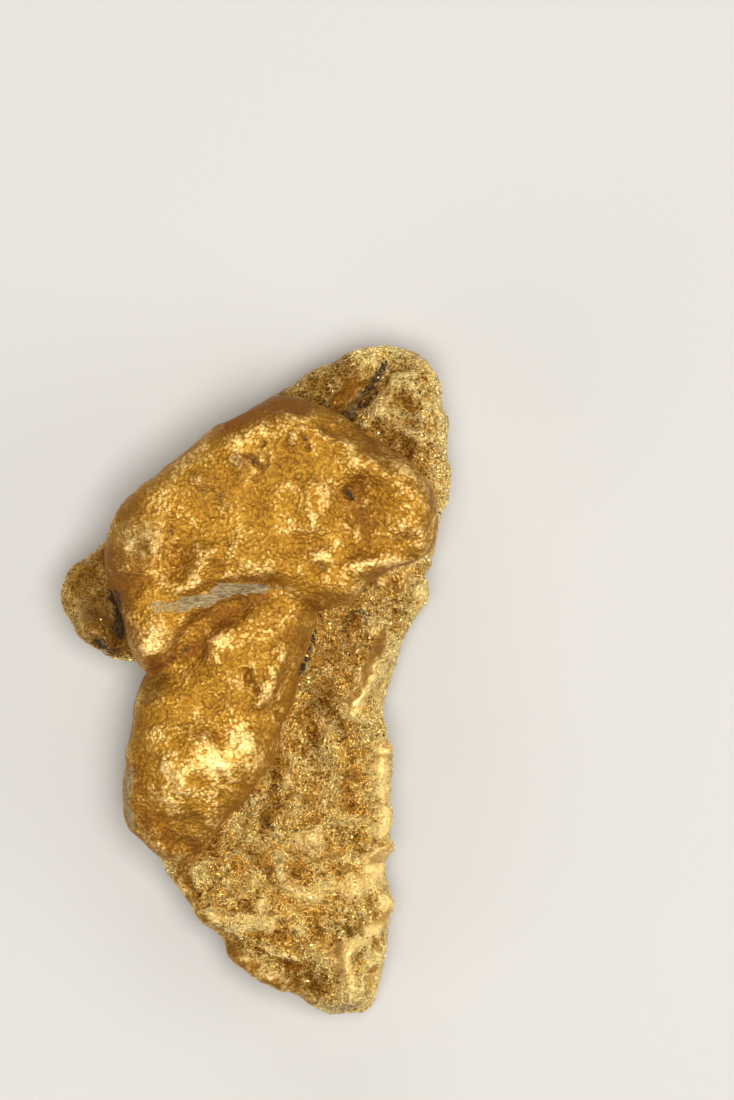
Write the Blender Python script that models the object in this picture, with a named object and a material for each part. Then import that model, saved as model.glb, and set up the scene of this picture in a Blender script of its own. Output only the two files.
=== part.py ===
"""A gold nugget lying on its back: two smooth lobes folded over a rough, thinner slab.

The nugget is one solid. Each mass starts as rings between an outline seen from above and a
spine inside it, is remeshed and takes its swells, hollows, ridges and grooves. The masses are
then remeshed into one body, thinned to flat facets and worn flat where it rests, at z = 0.
Lengths here are millimetres until the last step. +Z is up, and +Y runs along the nugget.
"""

import math

import bmesh
import bpy
import numpy as np
from mathutils import Vector, noise

METRES_PER_MM = 0.001

# Driving dimensions, in millimetres.
VOXEL = 0.42             # spacing of the surface while the masses are shaped and joined
RING_POINTS = 220        # points round each ring of a mass
RINGS = 26               # rings from a mass's underside to its top
RING_REACH = 86.0        # degrees above and below the rim that the rings run to
SIDE_WINDOW = 8          # ring points each side that smooth an outline away from its rim
WANDER = 0.45            # how far a crease or ridge strays from its drawn path
WANDER_SCALE = 2.6       # length over which it strays
WANDER_SHIFTS = ((17.3, 5.1, 9.7), (3.9, 21.4, 13.2))  # where x and y read their straying
SMOOTHING_PASSES = 2
FLANK_SWELL = 0.9        # broad unevenness of the flanks and the underside, below the rim
FLANK_LENGTH = 5.5
FLANK_DEPTH = 3.0        # depth below the rim at which it is full
MOST_TRIANGLES = 9300    # before the underside is worn flat

GOLD = (0.72, 0.42, 0.11, 1.0)
GOLD_ROUGHNESS = 0.42

# An outline is (x, y) round a mass as seen from above. A spine point is (x, y, low, high).
# rim is the height of the widest level. boxy and keel are the squareness of the section above
# and below the rim. lumps are the (height, length) of the uneven swelling all over the mass.
SLAB = {
    "outline": [
        (14.9, 10.6), (14.2, 8.6), (14.4, 6.8), (13.1, 4.8), (12.1, 2.6), (11.4, 0.3),
        (10.4, -2.6), (11.2, -5.0), (11.3, -6.4), (11.2, -9.5), (11.2, -12.0), (10.7, -15.8),
        (11.5, -18.8), (11.0, -22.0), (10.3, -26.2), (9.2, -27.9), (6.6, -28.2), (4.3, -27.3),
        (3.1, -26.2), (0.3, -25.2), (-1.7, -23.7), (-2.7, -22.3), (-3.2, -21.2), (-5.0, -20.1),
        (-6.2, -18.0), (-7.9, -15.9), (-8.5, -14.3), (-9.3, -9.5), (-8.6, 0.0), (-9.0, 6.0),
        (-7.0, 10.5), (-2.0, 14.0), (6.0, 15.6), (12.4, 14.8),
    ],
    "spine": [(4.0, 11.0, 0.5, 8.6), (6.5, 4.0, 0.4, 8.4), (3.5, -6.0, 0.5, 8.6),
              (4.0, -15.0, 0.3, 9.6), (7.0, -24.5, 0.7, 9.0)],
    "rim": 4.6, "boxy": 2.8, "keel": 2.0, "lumps": (0.42, 2.4),
}
CROWN = {
    "outline": [
        (-3.4, 21.1), (-1.4, 22.1), (1.0, 23.6), (3.7, 25.4), (6.5, 26.7), (8.0, 27.6),
        (11.2, 28.2), (14.0, 27.1), (15.5, 24.9), (15.6, 23.1), (16.3, 21.2), (16.0, 19.1),
        (16.5, 16.8), (15.5, 13.9), (15.0, 10.8), (12.0, 8.0), (5.0, 10.0), (-2.0, 12.0),
        (-6.8, 15.5),
    ],
    "spine": [(-1.0, 18.5, 1.4, 10.0), (5.0, 21.0, 0.6, 11.0), (11.5, 22.0, 0.4, 11.5),
              (13.0, 14.0, 0.5, 10.0)],
    "rim": 5.4, "boxy": 2.5, "keel": 2.0, "lumps": (0.4, 2.2),
}
UPPER_LOBE = {
    "outline": [
        (-12.3, 12.0), (-11.0, 14.9), (-8.6, 16.9), (-6.0, 19.0), (-3.4, 21.1), (-1.0, 22.3),
        (2.2, 23.8), (4.8, 23.1), (7.3, 22.1), (9.5, 20.3), (13.0, 18.2), (14.9, 15.6),
        (15.2, 12.6), (14.0, 10.3), (11.4, 9.5), (9.0, 7.8), (7.4, 6.2), (5.2, 5.4),
        (3.0, 4.0), (-1.0, 3.0), (-5.5, 0.6), (-8.6, 0.2), (-10.1, 2.2), (-10.9, 5.4),
        (-12.2, 7.9), (-12.6, 10.0),
    ],
    "spine": [(-7.0, 7.0, 4.0, 15.6), (-4.0, 12.0, 4.0, 16.2), (2.5, 14.5, 4.0, 16.4),
              (9.5, 14.5, 4.0, 16.8)],
    "rim": 11.0, "boxy": 2.5, "keel": 2.2, "lumps": (0.28, 3.4),
}
LOWER_LOBE = {
    "outline": [
        (5.1, 6.2), (4.6, 3.4), (3.4, 0.4), (3.3, -1.4), (2.0, -4.0), (1.5, -6.8),
        (-1.2, -10.2), (-3.4, -12.8), (-5.3, -15.2), (-7.4, -15.0), (-10.4, -12.5),
        (-11.1, -9.0), (-10.7, -5.6), (-10.1, -2.2), (-9.2, 0.8), (-5.0, 6.0), (-1.0, 8.0),
        (3.0, 7.8),
    ],
    "spine": [(0.5, 4.5, 5.0, 15.0), (-2.0, -1.5, 4.0, 15.2), (-4.5, -7.5, 3.0, 14.8),
              (-6.2, -11.5, 3.0, 12.6)],
    "rim": 9.6, "boxy": 2.3, "keel": 2.1, "lumps": (0.26, 3.2),
}
KNOB = {
    "outline": [
        (-12.0, 2.25), (-14.7, 3.5), (-16.1, 5.9), (-16.4, 7.6), (-15.0, 9.9),
        (-12.6, 11.6), (-11.0, 10.4), (-10.8, 8.0), (-11.5, 4.8),
    ],
    "spine": [(-13.3, 8.6, 5.0, 11.6), (-13.4, 5.2, 5.4, 11.0)],
    "rim": 8.2, "boxy": 2.1, "keel": 2.0, "lumps": (0.3, 1.9),
}
NECK = {
    "outline": [(-13.5, 3.2), (-13.0, 10.5), (-9.0, 11.0), (-8.0, 3.0), (-11.0, 1.6)],
    "spine": [(-10.5, 8.0, 3.6, 8.6), (-10.0, 4.5, 3.4, 8.4)],
    "rim": 6.0, "boxy": 2.1, "keel": 2.0, "lumps": (0.3, 1.9),
}

# A form is (height, half width, path), raised where height is above 0. A path point is (x, y).
SLAB_TOP = [
    (-1.3, 2.4, [(8.0, 6.5), (6.0, 3.0), (5.2, -1.0), (4.0, -4.4)]),
    (-0.8, 1.6, [(9.6, 8.4), (11.5, 8.8)]),
    (1.1, 1.7, [(13.2, 8.0), (11.6, 5.6), (10.6, 2.8), (9.0, -0.4), (7.8, -2.4)]),
    (1.0, 1.6, [(9.0, -3.2), (10.3, -6.0), (10.2, -11.0), (10.3, -14.0)]),
    (-0.9, 1.8, [(8.2, -6.4), (8.2, -9.8)]),
    (-0.6, 1.2, [(8.6, -13.0)]),
    (-0.6, 1.2, [(4.8, -4.6)]),
    (0.8, 1.1, [(2.1, -5.2), (3.0, -6.4), (4.2, -7.4)]),
    (-1.0, 1.2, [(1.9, -6.6), (1.2, -9.8), (0.8, -12.4)]),
    (0.6, 1.5, [(3.6, -10.4)]),
    (0.8, 1.5, [(4.8, -13.4)]),
    (-1.0, 1.4, [(3.8, -16.1)]),
    (0.9, 1.0, [(2.2, -15.2), (2.6, -16.8), (4.2, -18.2), (6.0, -17.2)]),
    (1.0, 1.5, [(8.2, -17.4)]),
    (0.8, 1.2, [(10.6, -18.8)]),
    (-0.8, 1.5, [(2.0, -18.9), (5.0, -19.3)]),
    (0.9, 1.2, [(-4.4, -18.6), (-2.8, -20.2), (1.2, -20.2)]),
    (-1.0, 1.1, [(-3.4, -20.9), (0.8, -23.1), (4.2, -24.2)]),
    (0.8, 1.1, [(-2.0, -22.9), (0.0, -24.2), (2.6, -25.3)]),
    (-0.7, 1.2, [(-6.6, -15.4), (-4.6, -18.2)]),
    (-0.7, 1.2, [(6.6, -22.2), (5.4, -21.2)]),
    (1.0, 1.1, [(9.6, -21.1), (7.2, -23.3), (7.9, -26.3)]),
    (-0.9, 1.1, [(9.2, -24.4), (9.3, -25.6)]),
]
CROWN_TOP = [
    (-2.2, 2.1, [(12.0, 26.9), (10.2, 25.5), (8.9, 23.8), (7.4, 21.9)]),
    (-1.1, 1.1, [(9.6, 26.0), (8.0, 24.8), (5.6, 23.1)]),
    (0.9, 1.6, [(12.2, 25.3)]),
    (0.9, 1.5, [(10.2, 22.6), (11.2, 21.8)]),
    (-0.7, 1.1, [(11.0, 23.8), (13.0, 22.8)]),
    (-0.8, 1.4, [(12.6, 19.4), (11.6, 20.2)]),
    (0.6, 1.2, [(8.4, 26.8), (6.4, 25.6)]),
]
UPPER_LOBE_TOP = [
    (0.5, 1.9, [(9.0, 18.2), (11.8, 17.2), (13.4, 15.6), (13.4, 11.6)]),
    (-0.9, 3.0, [(8.6, 15.6), (8.8, 12.6)]),
    (0.7, 1.2, [(8.6, 9.3), (10.2, 9.9), (13.4, 10.6)]),
    (-0.5, 1.3, [(7.2, 10.4), (9.6, 11.2), (12.2, 11.6)]),
    (0.6, 2.3, [(5.0, 15.2), (4.2, 12.8)]),
    (-0.7, 1.1, [(-0.6, 19.1), (-0.2, 18.3), (0.4, 17.2)]),
    (-0.6, 1.3, [(6.0, 21.3), (7.9, 20.7)]),
    (0.6, 3.0, [(-9.6, 12.4)]),
    (-1.0, 2.0, [(-10.8, 7.4), (-8.2, 8.2), (-6.2, 10.0), (-5.4, 12.2)]),
    (-0.5, 1.8, [(-5.4, 12.4), (-2.8, 13.2), (0.4, 13.6)]),
    (0.6, 1.9, [(-8.0, 6.7), (-5.6, 8.2), (-4.5, 10.4)]),
    (-2.0, 2.0, [(-6.4, 5.4), (-2.4, 6.4), (2.2, 7.7), (4.4, 7.9)]),
    (-1.3, 1.2, [(-4.9, 4.3), (-6.2, 2.3), (-7.3, 1.6)]),
]
LOWER_LOBE_TOP = [
    (-1.5, 1.9, [(-8.3, 0.5), (-5.6, 1.7), (-3.9, 3.7), (-2.2, 5.3)]),
    (0.6, 1.1, [(2.5, 2.9), (1.7, 0.9), (0.4, -1.8)]),
    (0.9, 4.0, [(-3.6, -6.4)]),
    (-0.4, 1.2, [(-9.0, -1.4), (-6.0, -1.4), (-3.4, -0.6)]),
    (-0.6, 2.0, [(-8.2, -7.0), (-8.0, -9.8)]),
    (-0.5, 1.2, [(-6.8, -13.4), (-5.2, -13.8)]),
]
KNOB_TOP = [(-0.6, 1.1, [(-14.4, 9.2), (-12.8, 8.7)]), (-0.5, 1.0, [(-13.2, 3.4)])]

# The same for the undersides, where height above 0 stands down from the surface.
SLAB_UNDERSIDE = [
    (1.3, 3.4, [(9.0, 8.5), (8.6, 4.5)]),
    (1.3, 3.0, [(-3.6, -3.5), (-4.4, -8.5)]),
    (1.5, 3.2, [(6.6, -20.5), (7.4, -24.0)]),
    (1.0, 2.6, [(6.6, -8.5), (6.2, -12.5)]),
    (-1.3, 3.2, [(2.4, -16.0), (-1.6, -12.6)]),
    (-1.5, 3.4, [(1.6, 6.4), (2.6, 0.5), (1.8, -5.0)]),
    (-0.9, 1.3, [(10.6, -2.0), (7.6, -3.2), (4.6, -1.4)]),
    (-0.9, 1.3, [(9.4, -16.6), (6.4, -17.6), (3.6, -20.6)]),
    (-0.8, 1.4, [(-7.4, 3.6), (-4.8, 1.4), (-0.6, 1.2)]),
]
CROWN_UNDERSIDE = [
    (1.4, 3.2, [(11.6, 20.5), (12.4, 17.0)]),
    (1.2, 2.8, [(0.2, 18.2), (2.6, 17.0)]),
    (-1.3, 2.4, [(6.4, 25.2), (7.0, 21.0), (7.4, 15.4)]),
    (-0.8, 1.2, [(14.8, 24.4), (12.0, 24.0), (9.6, 25.8)]),
]
UPPER_LOBE_UNDERSIDE = [(-0.8, 1.4, [(-9.6, 12.6), (-6.4, 12.0), (-4.2, 14.6)])]
LOWER_LOBE_UNDERSIDE = [(-0.8, 1.3, [(-10.2, -6.0), (-7.4, -7.4), (-6.6, -11.0)])]


def closed_curve(points, count):
    """`count` evenly spaced points on the smooth closed curve through `points`."""
    points = np.array(points)
    before = np.roll(points, 1, axis=0)
    after = np.roll(points, -1, axis=0)
    later = np.roll(points, -2, axis=0)
    stretches = []
    for step in np.arange(8) / 8:
        linear = (after - before) * step
        square = (2 * before - 5 * points + 4 * after - later) * step**2
        cube = (3 * points - before - 3 * after + later) * step**3
        stretches.append((2 * points + linear + square + cube) / 2)
    dense = np.stack(stretches, axis=1).reshape(-1, 2)
    dense = np.vstack([dense, dense[:1]])
    run = np.concatenate([[0], np.cumsum(np.linalg.norm(np.diff(dense, axis=0), axis=1))])
    at = np.linspace(0, run[-1], count, endpoint=False)
    return np.stack([np.interp(at, run, dense[:, axis]) for axis in (0, 1)], axis=1)


def nearest_on_path(places, path):
    """Distance from each (x, y) to the path, and the path point's own values there."""
    path = np.array(path, float)
    nearest = np.linalg.norm(places - path[0, :2], axis=1)
    values = np.repeat(path[:1], len(places), axis=0)
    for start, end in zip(path, path[1:]):
        run = (end - start)[:2]
        share = np.clip((places - start[:2]) @ run / (run @ run), 0, 1)
        on_path = start + share[:, None] * (end - start)
        distance = np.linalg.norm(places - on_path[:, :2], axis=1)
        closer = distance < nearest
        nearest[closer] = distance[closer]
        values[closer] = on_path[closer]
    return nearest, values


def ringed_mesh(name, shape):
    """A closed mesh of rings that swell from a low spine to the outline and back to a high one."""
    edge = closed_curve(shape["outline"], RING_POINTS)
    window = range(-SIDE_WINDOW, SIDE_WINDOW + 1)
    side = sum(np.roll(edge, shift, axis=0) for shift in window) / len(window)
    _, core = nearest_on_path(edge, shape["spine"])
    bm = bmesh.new()
    rings = []
    for angle in np.radians(np.linspace(-RING_REACH, RING_REACH, RINGS)):
        squareness = shape["boxy"] if angle > 0 else shape["keel"]
        width = math.cos(angle) ** (2 / squareness)
        climb = abs(math.sin(angle)) ** (2 / squareness)
        around = edge + (side - edge) * climb
        places = core[:, :2] + (around - core[:, :2]) * width
        end = core[:, 3] if angle > 0 else core[:, 2]
        heights = shape["rim"] + (end - shape["rim"]) * climb
        rings.append([bm.verts.new((*place, z)) for place, z in zip(places, heights)])
    for lower, upper in zip(rings, rings[1:]):
        for here in range(RING_POINTS):
            there = (here + 1) % RING_POINTS
            bm.faces.new((lower[here], lower[there], upper[there], upper[here]))
    bm.faces.new(reversed(rings[0]))
    bm.faces.new(rings[-1])
    bmesh.ops.recalc_face_normals(bm, faces=bm.faces)
    return mesh_from(bm, name)


def mesh_from(bm, name):
    mesh = bpy.data.meshes.new(name)
    bm.to_mesh(mesh)
    bm.free()
    return mesh


def with_modifiers(mesh, add_modifiers):
    """The mesh as the modifiers that `add_modifiers` puts on an object leave it."""
    holder = bpy.data.objects.new(mesh.name, mesh)
    bpy.context.scene.collection.objects.link(holder)
    add_modifiers(holder.modifiers)
    graph = bpy.context.evaluated_depsgraph_get()
    result = bpy.data.meshes.new_from_object(holder.evaluated_get(graph))
    bpy.data.objects.remove(holder)
    return result


def voxel_remesh(modifiers, smoothing_passes=0):
    remesh = modifiers.new("Remesh", "REMESH")
    remesh.mode = "VOXEL"
    remesh.voxel_size = VOXEL
    if smoothing_passes:
        smooth = modifiers.new("Smooth", "SMOOTH")
        smooth.iterations = smoothing_passes


def vertex_values(mesh, collection, attribute):
    values = np.empty(len(mesh.vertices) * 3, np.float32)
    getattr(mesh, collection).foreach_get(attribute, values)
    return values.reshape(-1, 3).astype(float)


def unevenness(places, length, shift=(0.0, 0.0, 0.0)):
    """A smooth value of about -1 to 1 at each point, which varies over `length`."""
    shift = Vector(shift)
    return np.array([noise.noise(Vector(place) / length + shift) for place in places])


def wandered(places):
    """The (x, y) of each point, moved a little so that drawn paths come out uneven."""
    strays = [unevenness(places, WANDER_SCALE, shift) for shift in WANDER_SHIFTS]
    return places[:, :2] + WANDER * np.stack(strays, axis=1)


def raise_forms(mesh, shape, forms, underside_forms):
    """Pushes the surface out or in along its normals, for the lumps and for each form."""
    places = vertex_values(mesh, "vertices", "co")
    normals = vertex_values(mesh, "vertex_normals", "vector")
    height, length = shape["lumps"]
    below = np.clip((shape["rim"] - places[:, 2]) / FLANK_DEPTH, 0, 1)
    push = height * unevenness(places, length)
    push += FLANK_SWELL * below * unevenness(places, FLANK_LENGTH)
    strayed = wandered(places)
    for facing, listed in ((1, forms), (-1, underside_forms)):
        towards = np.clip(2.5 * facing * normals[:, 2], 0, 1)
        for rise, half_width, path in listed:
            distance, _ = nearest_on_path(strayed, path)
            fall = np.clip(distance / half_width, 0, 1)
            push += towards * rise * (1 - fall**2) ** 2
    places += normals * push[:, None]
    mesh.vertices.foreach_set("co", places.astype(np.float32).ravel())
    mesh.update()


def shaped_mass(name, shape, forms=(), underside_forms=()):
    mesh = with_modifiers(ringed_mesh(name, shape), voxel_remesh)
    raise_forms(mesh, shape, forms, underside_forms)
    return mesh


def grown_together(masses):
    """All masses as one closed skin, with no faces left inside."""
    bm = bmesh.new()
    for mass in masses:
        bm.from_mesh(mass)
    return with_modifiers(
        mesh_from(bm, "masses"),
        lambda modifiers: voxel_remesh(modifiers, SMOOTHING_PASSES),
    )


def faceted(mesh):
    triangles = 2 * len(mesh.polygons)

    def thin(modifiers):
        decimate = modifiers.new("Decimate", "DECIMATE")
        decimate.ratio = MOST_TRIANGLES / triangles

    return with_modifiers(mesh, thin)


def worn_flat(mesh):
    """Cuts off what lies below z = 0 and closes each cut with a flat face to rest on."""
    bm = bmesh.new()
    bm.from_mesh(mesh)
    everything = bm.verts[:] + bm.edges[:] + bm.faces[:]
    bmesh.ops.bisect_plane(
        bm, geom=everything, plane_co=(0, 0, 0), plane_no=(0, 0, 1), clear_inner=True
    )
    rims = [edge for edge in bm.edges if edge.is_boundary]
    bmesh.ops.holes_fill(bm, edges=rims, sides=0)
    bmesh.ops.triangulate(bm, faces=bm.faces)
    bmesh.ops.recalc_face_normals(bm, faces=bm.faces)
    bmesh.ops.scale(bm, vec=Vector((1, 1, 1)) * METRES_PER_MM, verts=bm.verts)
    return mesh_from(bm, "nugget")


def gold_material():
    material = bpy.data.materials.new("native gold")
    material.use_nodes = True
    shader = material.node_tree.nodes["Principled BSDF"]
    shader.inputs["Base Color"].default_value = GOLD
    shader.inputs["Metallic"].default_value = 1.0
    shader.inputs["Roughness"].default_value = GOLD_ROUGHNESS
    return material


def make_nugget():
    masses = [
        shaped_mass("slab", SLAB, SLAB_TOP, SLAB_UNDERSIDE),
        shaped_mass("crown", CROWN, CROWN_TOP, CROWN_UNDERSIDE),
        shaped_mass("upper lobe", UPPER_LOBE, UPPER_LOBE_TOP, UPPER_LOBE_UNDERSIDE),
        shaped_mass("lower lobe", LOWER_LOBE, LOWER_LOBE_TOP, LOWER_LOBE_UNDERSIDE),
        shaped_mass("knob", KNOB, KNOB_TOP),
        shaped_mass("neck", NECK),
    ]
    mesh = worn_flat(faceted(grown_together(masses)))
    mesh.materials.append(gold_material())
    nugget = bpy.data.objects.new("nugget", mesh)
    bpy.context.scene.collection.objects.link(nugget)


for leftover in list(bpy.data.objects):
    bpy.data.objects.remove(leftover)
make_nugget()
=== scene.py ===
"""The looks of a gold nugget that lies on its back on a pale studio floor.

Lengths in the shape lists are millimetres, with +Y along the nugget and +Z up, away from the
floor. Everything is scaled to metres before it is finished and dressed.
"""

import math
from typing import NamedTuple

import bmesh
import bpy
import numpy as np
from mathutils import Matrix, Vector, noise
from mathutils.bvhtree import BVHTree


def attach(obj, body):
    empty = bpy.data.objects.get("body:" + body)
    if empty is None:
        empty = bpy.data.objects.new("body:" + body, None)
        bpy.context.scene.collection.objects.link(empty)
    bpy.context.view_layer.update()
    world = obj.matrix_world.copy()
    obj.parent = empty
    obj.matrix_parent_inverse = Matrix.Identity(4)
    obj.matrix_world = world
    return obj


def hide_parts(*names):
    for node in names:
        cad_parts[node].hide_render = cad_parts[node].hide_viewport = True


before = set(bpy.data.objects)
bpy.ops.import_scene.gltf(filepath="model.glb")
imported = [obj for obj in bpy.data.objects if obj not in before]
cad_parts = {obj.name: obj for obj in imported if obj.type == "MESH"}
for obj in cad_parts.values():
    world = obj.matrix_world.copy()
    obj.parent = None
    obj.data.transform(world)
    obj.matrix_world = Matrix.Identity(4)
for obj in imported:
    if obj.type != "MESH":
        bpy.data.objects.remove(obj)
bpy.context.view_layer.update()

bl_info = {
    "name": "Gold nugget",
    "version": (1, 0, 0),
    "blender": (4, 5, 0),
    "location": "3D View > Sidebar > Nugget",
    "description": "Builds a gold nugget of folded lobes over a granular slab, and its stage",
    "category": "Object",
}

MM = 0.001
NODE = "nugget"
BODY = "root"

# ------------------------------------------------------------------ forms of the nugget


class Mass(NamedTuple):
    """A lump between an outline seen from above and a spine of (x, y, low, high) inside it."""

    name: str
    rim: float          # height of its widest level
    boxy: float         # squareness of its section above the rim
    keel: float         # and below it
    lumps: tuple        # (height, length) of the uneven swelling all over it
    rough: float        # 0 for hammered smooth gold, 1 for granular gold
    outline: list
    spine: list


SLAB = Mass(
    "slab", rim=4.6, boxy=4.0, keel=2.0, lumps=(0.42, 2.4), rough=1.0,
    outline=[
        (14.9, 10.6), (14.3, 8.9), (14.1, 8.2), (14.4, 7.4), (14.3, 6.4), (13.1, 4.8),
        (12.4, 3.8), (12.1, 2.6), (11.4, 0.3), (11, -1), (10.4, -2.6), (10.8, -3.9),
        (11.35, -6), (11.2, -7.5), (11.2, -9.5), (11.3, -11), (10.9, -14), (10.7, -15.8),
        (11, -17.1), (11.5, -18.9), (11.3, -20.2), (11, -22), (10.7, -24), (10.2, -26.6),
        (9.2, -27.9), (8, -28.1), (6.6, -28.2), (5.2, -27.9), (4.3, -27.3), (3.8, -26.7),
        (3.1, -26.2), (1, -25.6), (0.3, -25.2), (-0.4, -24.6), (-1.7, -23.7), (-2.3, -23),
        (-2.7, -22.4), (-2.8, -21.7), (-3.2, -21.2), (-4.2, -20.7), (-5, -20.1), (-5.5, -19.3),
        (-6.6, -17.5), (-7.9, -15.9), (-8.5, -14.4), (-9, -12.5), (-9.3, -9.5), (-8.6, 0),
        (-9, 6), (-7, 10.5), (-2, 14), (6, 15.6), (12.4, 14.8),
    ],
    spine=[(4, 11, 0.5, 8.6), (6.5, 4, 0.4, 8.4), (3.5, -6, 0.5, 8.6),
           (4, -15, 0.3, 9.6), (7, -24.5, 0.7, 9)],
)
CROWN = Mass(
    "crown", rim=5.4, boxy=3.0, keel=2.0, lumps=(0.4, 2.2), rough=1.0,
    outline=[
        (-3.4, 21.1), (-1.4, 22.1), (-0.6, 22.6), (1, 23.6), (2, 24.2), (3.7, 25.4),
        (4.5, 26), (6.7, 26.8), (7.2, 27.4), (8, 27.6), (9, 28), (11.2, 28.15),
        (13.3, 27.6), (14, 27.1), (15.1, 25.8), (15.5, 24.6), (15.6, 23.1), (16.1, 22.3),
        (16.3, 21), (16, 19.1), (16.4, 17.4), (16.4, 15.8), (16.2, 14.9), (15.5, 13.9),
        (15.25, 12.5), (14.7, 10), (12, 8), (5, 10), (-2, 12), (-6.8, 15.5),
    ],
    spine=[(-1, 18.5, 1.4, 10), (5, 21, 0.6, 11), (11.5, 22, 0.4, 11.5),
           (13, 14, 0.5, 10)],
)
UPPER_LOBE = Mass(
    "upper lobe", rim=11.0, boxy=4.0, keel=2.2, lumps=(0.28, 3.4), rough=0.0,
    outline=[
        (-12.3, 12), (-11.6, 14), (-11, 14.9), (-10, 15.9), (-8.2, 17.1), (-7.5, 17.8),
        (-6, 19), (-4.2, 20.3), (-3.4, 21.1), (-1.4, 22), (0, 22.9), (1, 23.5),
        (2.2, 23.8), (3.6, 23.6), (4.8, 23.1), (7.3, 22.1), (8.7, 20.8), (9.5, 20.3),
        (11.8, 18.9), (13, 18.2), (14.5, 16.4), (15, 15.4), (15.25, 14), (15.2, 12.6),
        (15, 11.5), (14.4, 10.6), (12.4, 9.7), (11.4, 9.5), (9.6, 8.4), (9, 7.8), (7.8, 6.4),
        (5.8, 5.9), (5, 5.8), (3.6, 6.6), (1.6, 7.3), (-1, 6.9), (-3.4, 6.1), (-5.2, 5.4),
        (-5.7, 4.2), (-6.1, 3), (-7, 1.7), (-8.5, 0.7), (-9.5, 0.9),
        (-10.1, 2.2), (-10.6, 3.5), (-10.8, 5), (-11.7, 6.9), (-12.2, 7.9), (-12.5, 9.2),
        (-12.5, 10.6),
    ],
    spine=[(-8.2, 4.2, 5, 15.4), (-7.6, 8.2, 4, 15.6), (-4, 12.6, 4, 16.2),
           (2.5, 14.5, 4, 16.4), (9.5, 14.2, 4, 16.7)],
)
LOWER_LOBE = Mass(
    "lower lobe", rim=9.6, boxy=3.3, keel=2.1, lumps=(0.26, 3.2), rough=0.0,
    outline=[
        (5.1, 6.2), (5, 4.6), (4.1, 2.2), (3.4, 0.2), (3.4, -0.9), (3.2, -1.8), (2.6, -2.9),
        (2, -4), (1.7, -6), (1.2, -7.2), (-0.4, -9.1), (-1.2, -10.2), (-3, -12.2),
        (-3.7, -13.4), (-4.3, -14.4), (-5.3, -15.2), (-6.8, -15.2), (-8, -14.6),
        (-10, -12.9), (-10.6, -12.2), (-10.9, -10.6), (-11.1, -9), (-11, -7.8),
        (-10.7, -7), (-10.8, -5.8), (-10.3, -3.6), (-10.1, -2.2), (-9.6, -0.3), (-9.2, 0.8),
        (-8.4, 2.6), (-7.4, 5.4), (-5, 8.6), (-1, 10.6), (4.4, 10.4), (6.4, 7.6),
    ],
    spine=[(0.6, 6.6, 5, 14.6), (-0.4, 2.4, 5, 15.1), (-2, -1.8, 4, 14.7),
           (-3.6, -6, 3, 15.5), (-5.6, -10.4, 3, 14.7), (-6.6, -12.6, 3, 13)],
)
KNOB = Mass(
    "knob", rim=8.2, boxy=2.1, keel=2.0, lumps=(0.3, 1.9), rough=0.9,
    outline=[
        (-12, 2.25), (-13, 2.5), (-14.7, 3.5), (-15.2, 4.2), (-16.1, 5.9), (-16.4, 7.4),
        (-15.7, 9), (-15, 9.9), (-13.4, 10.9), (-12.6, 11.6), (-11, 10.4), (-10.8, 8),
        (-11.4, 6), (-11.5, 4.4),
    ],
    spine=[(-13.3, 8.6, 5, 11.6), (-13.4, 5.2, 5.4, 11)],
)
NECK = Mass(
    "neck", rim=6.0, boxy=2.1, keel=2.0, lumps=(0.3, 1.9), rough=1.0,
    outline=[(-13.5, 3.2), (-13, 10.5), (-9, 11), (-8, 3), (-11, 1.6)],
    spine=[(-10.5, 8, 3.6, 8.6), (-10, 4.5, 3.4, 8.4)],
)

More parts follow.
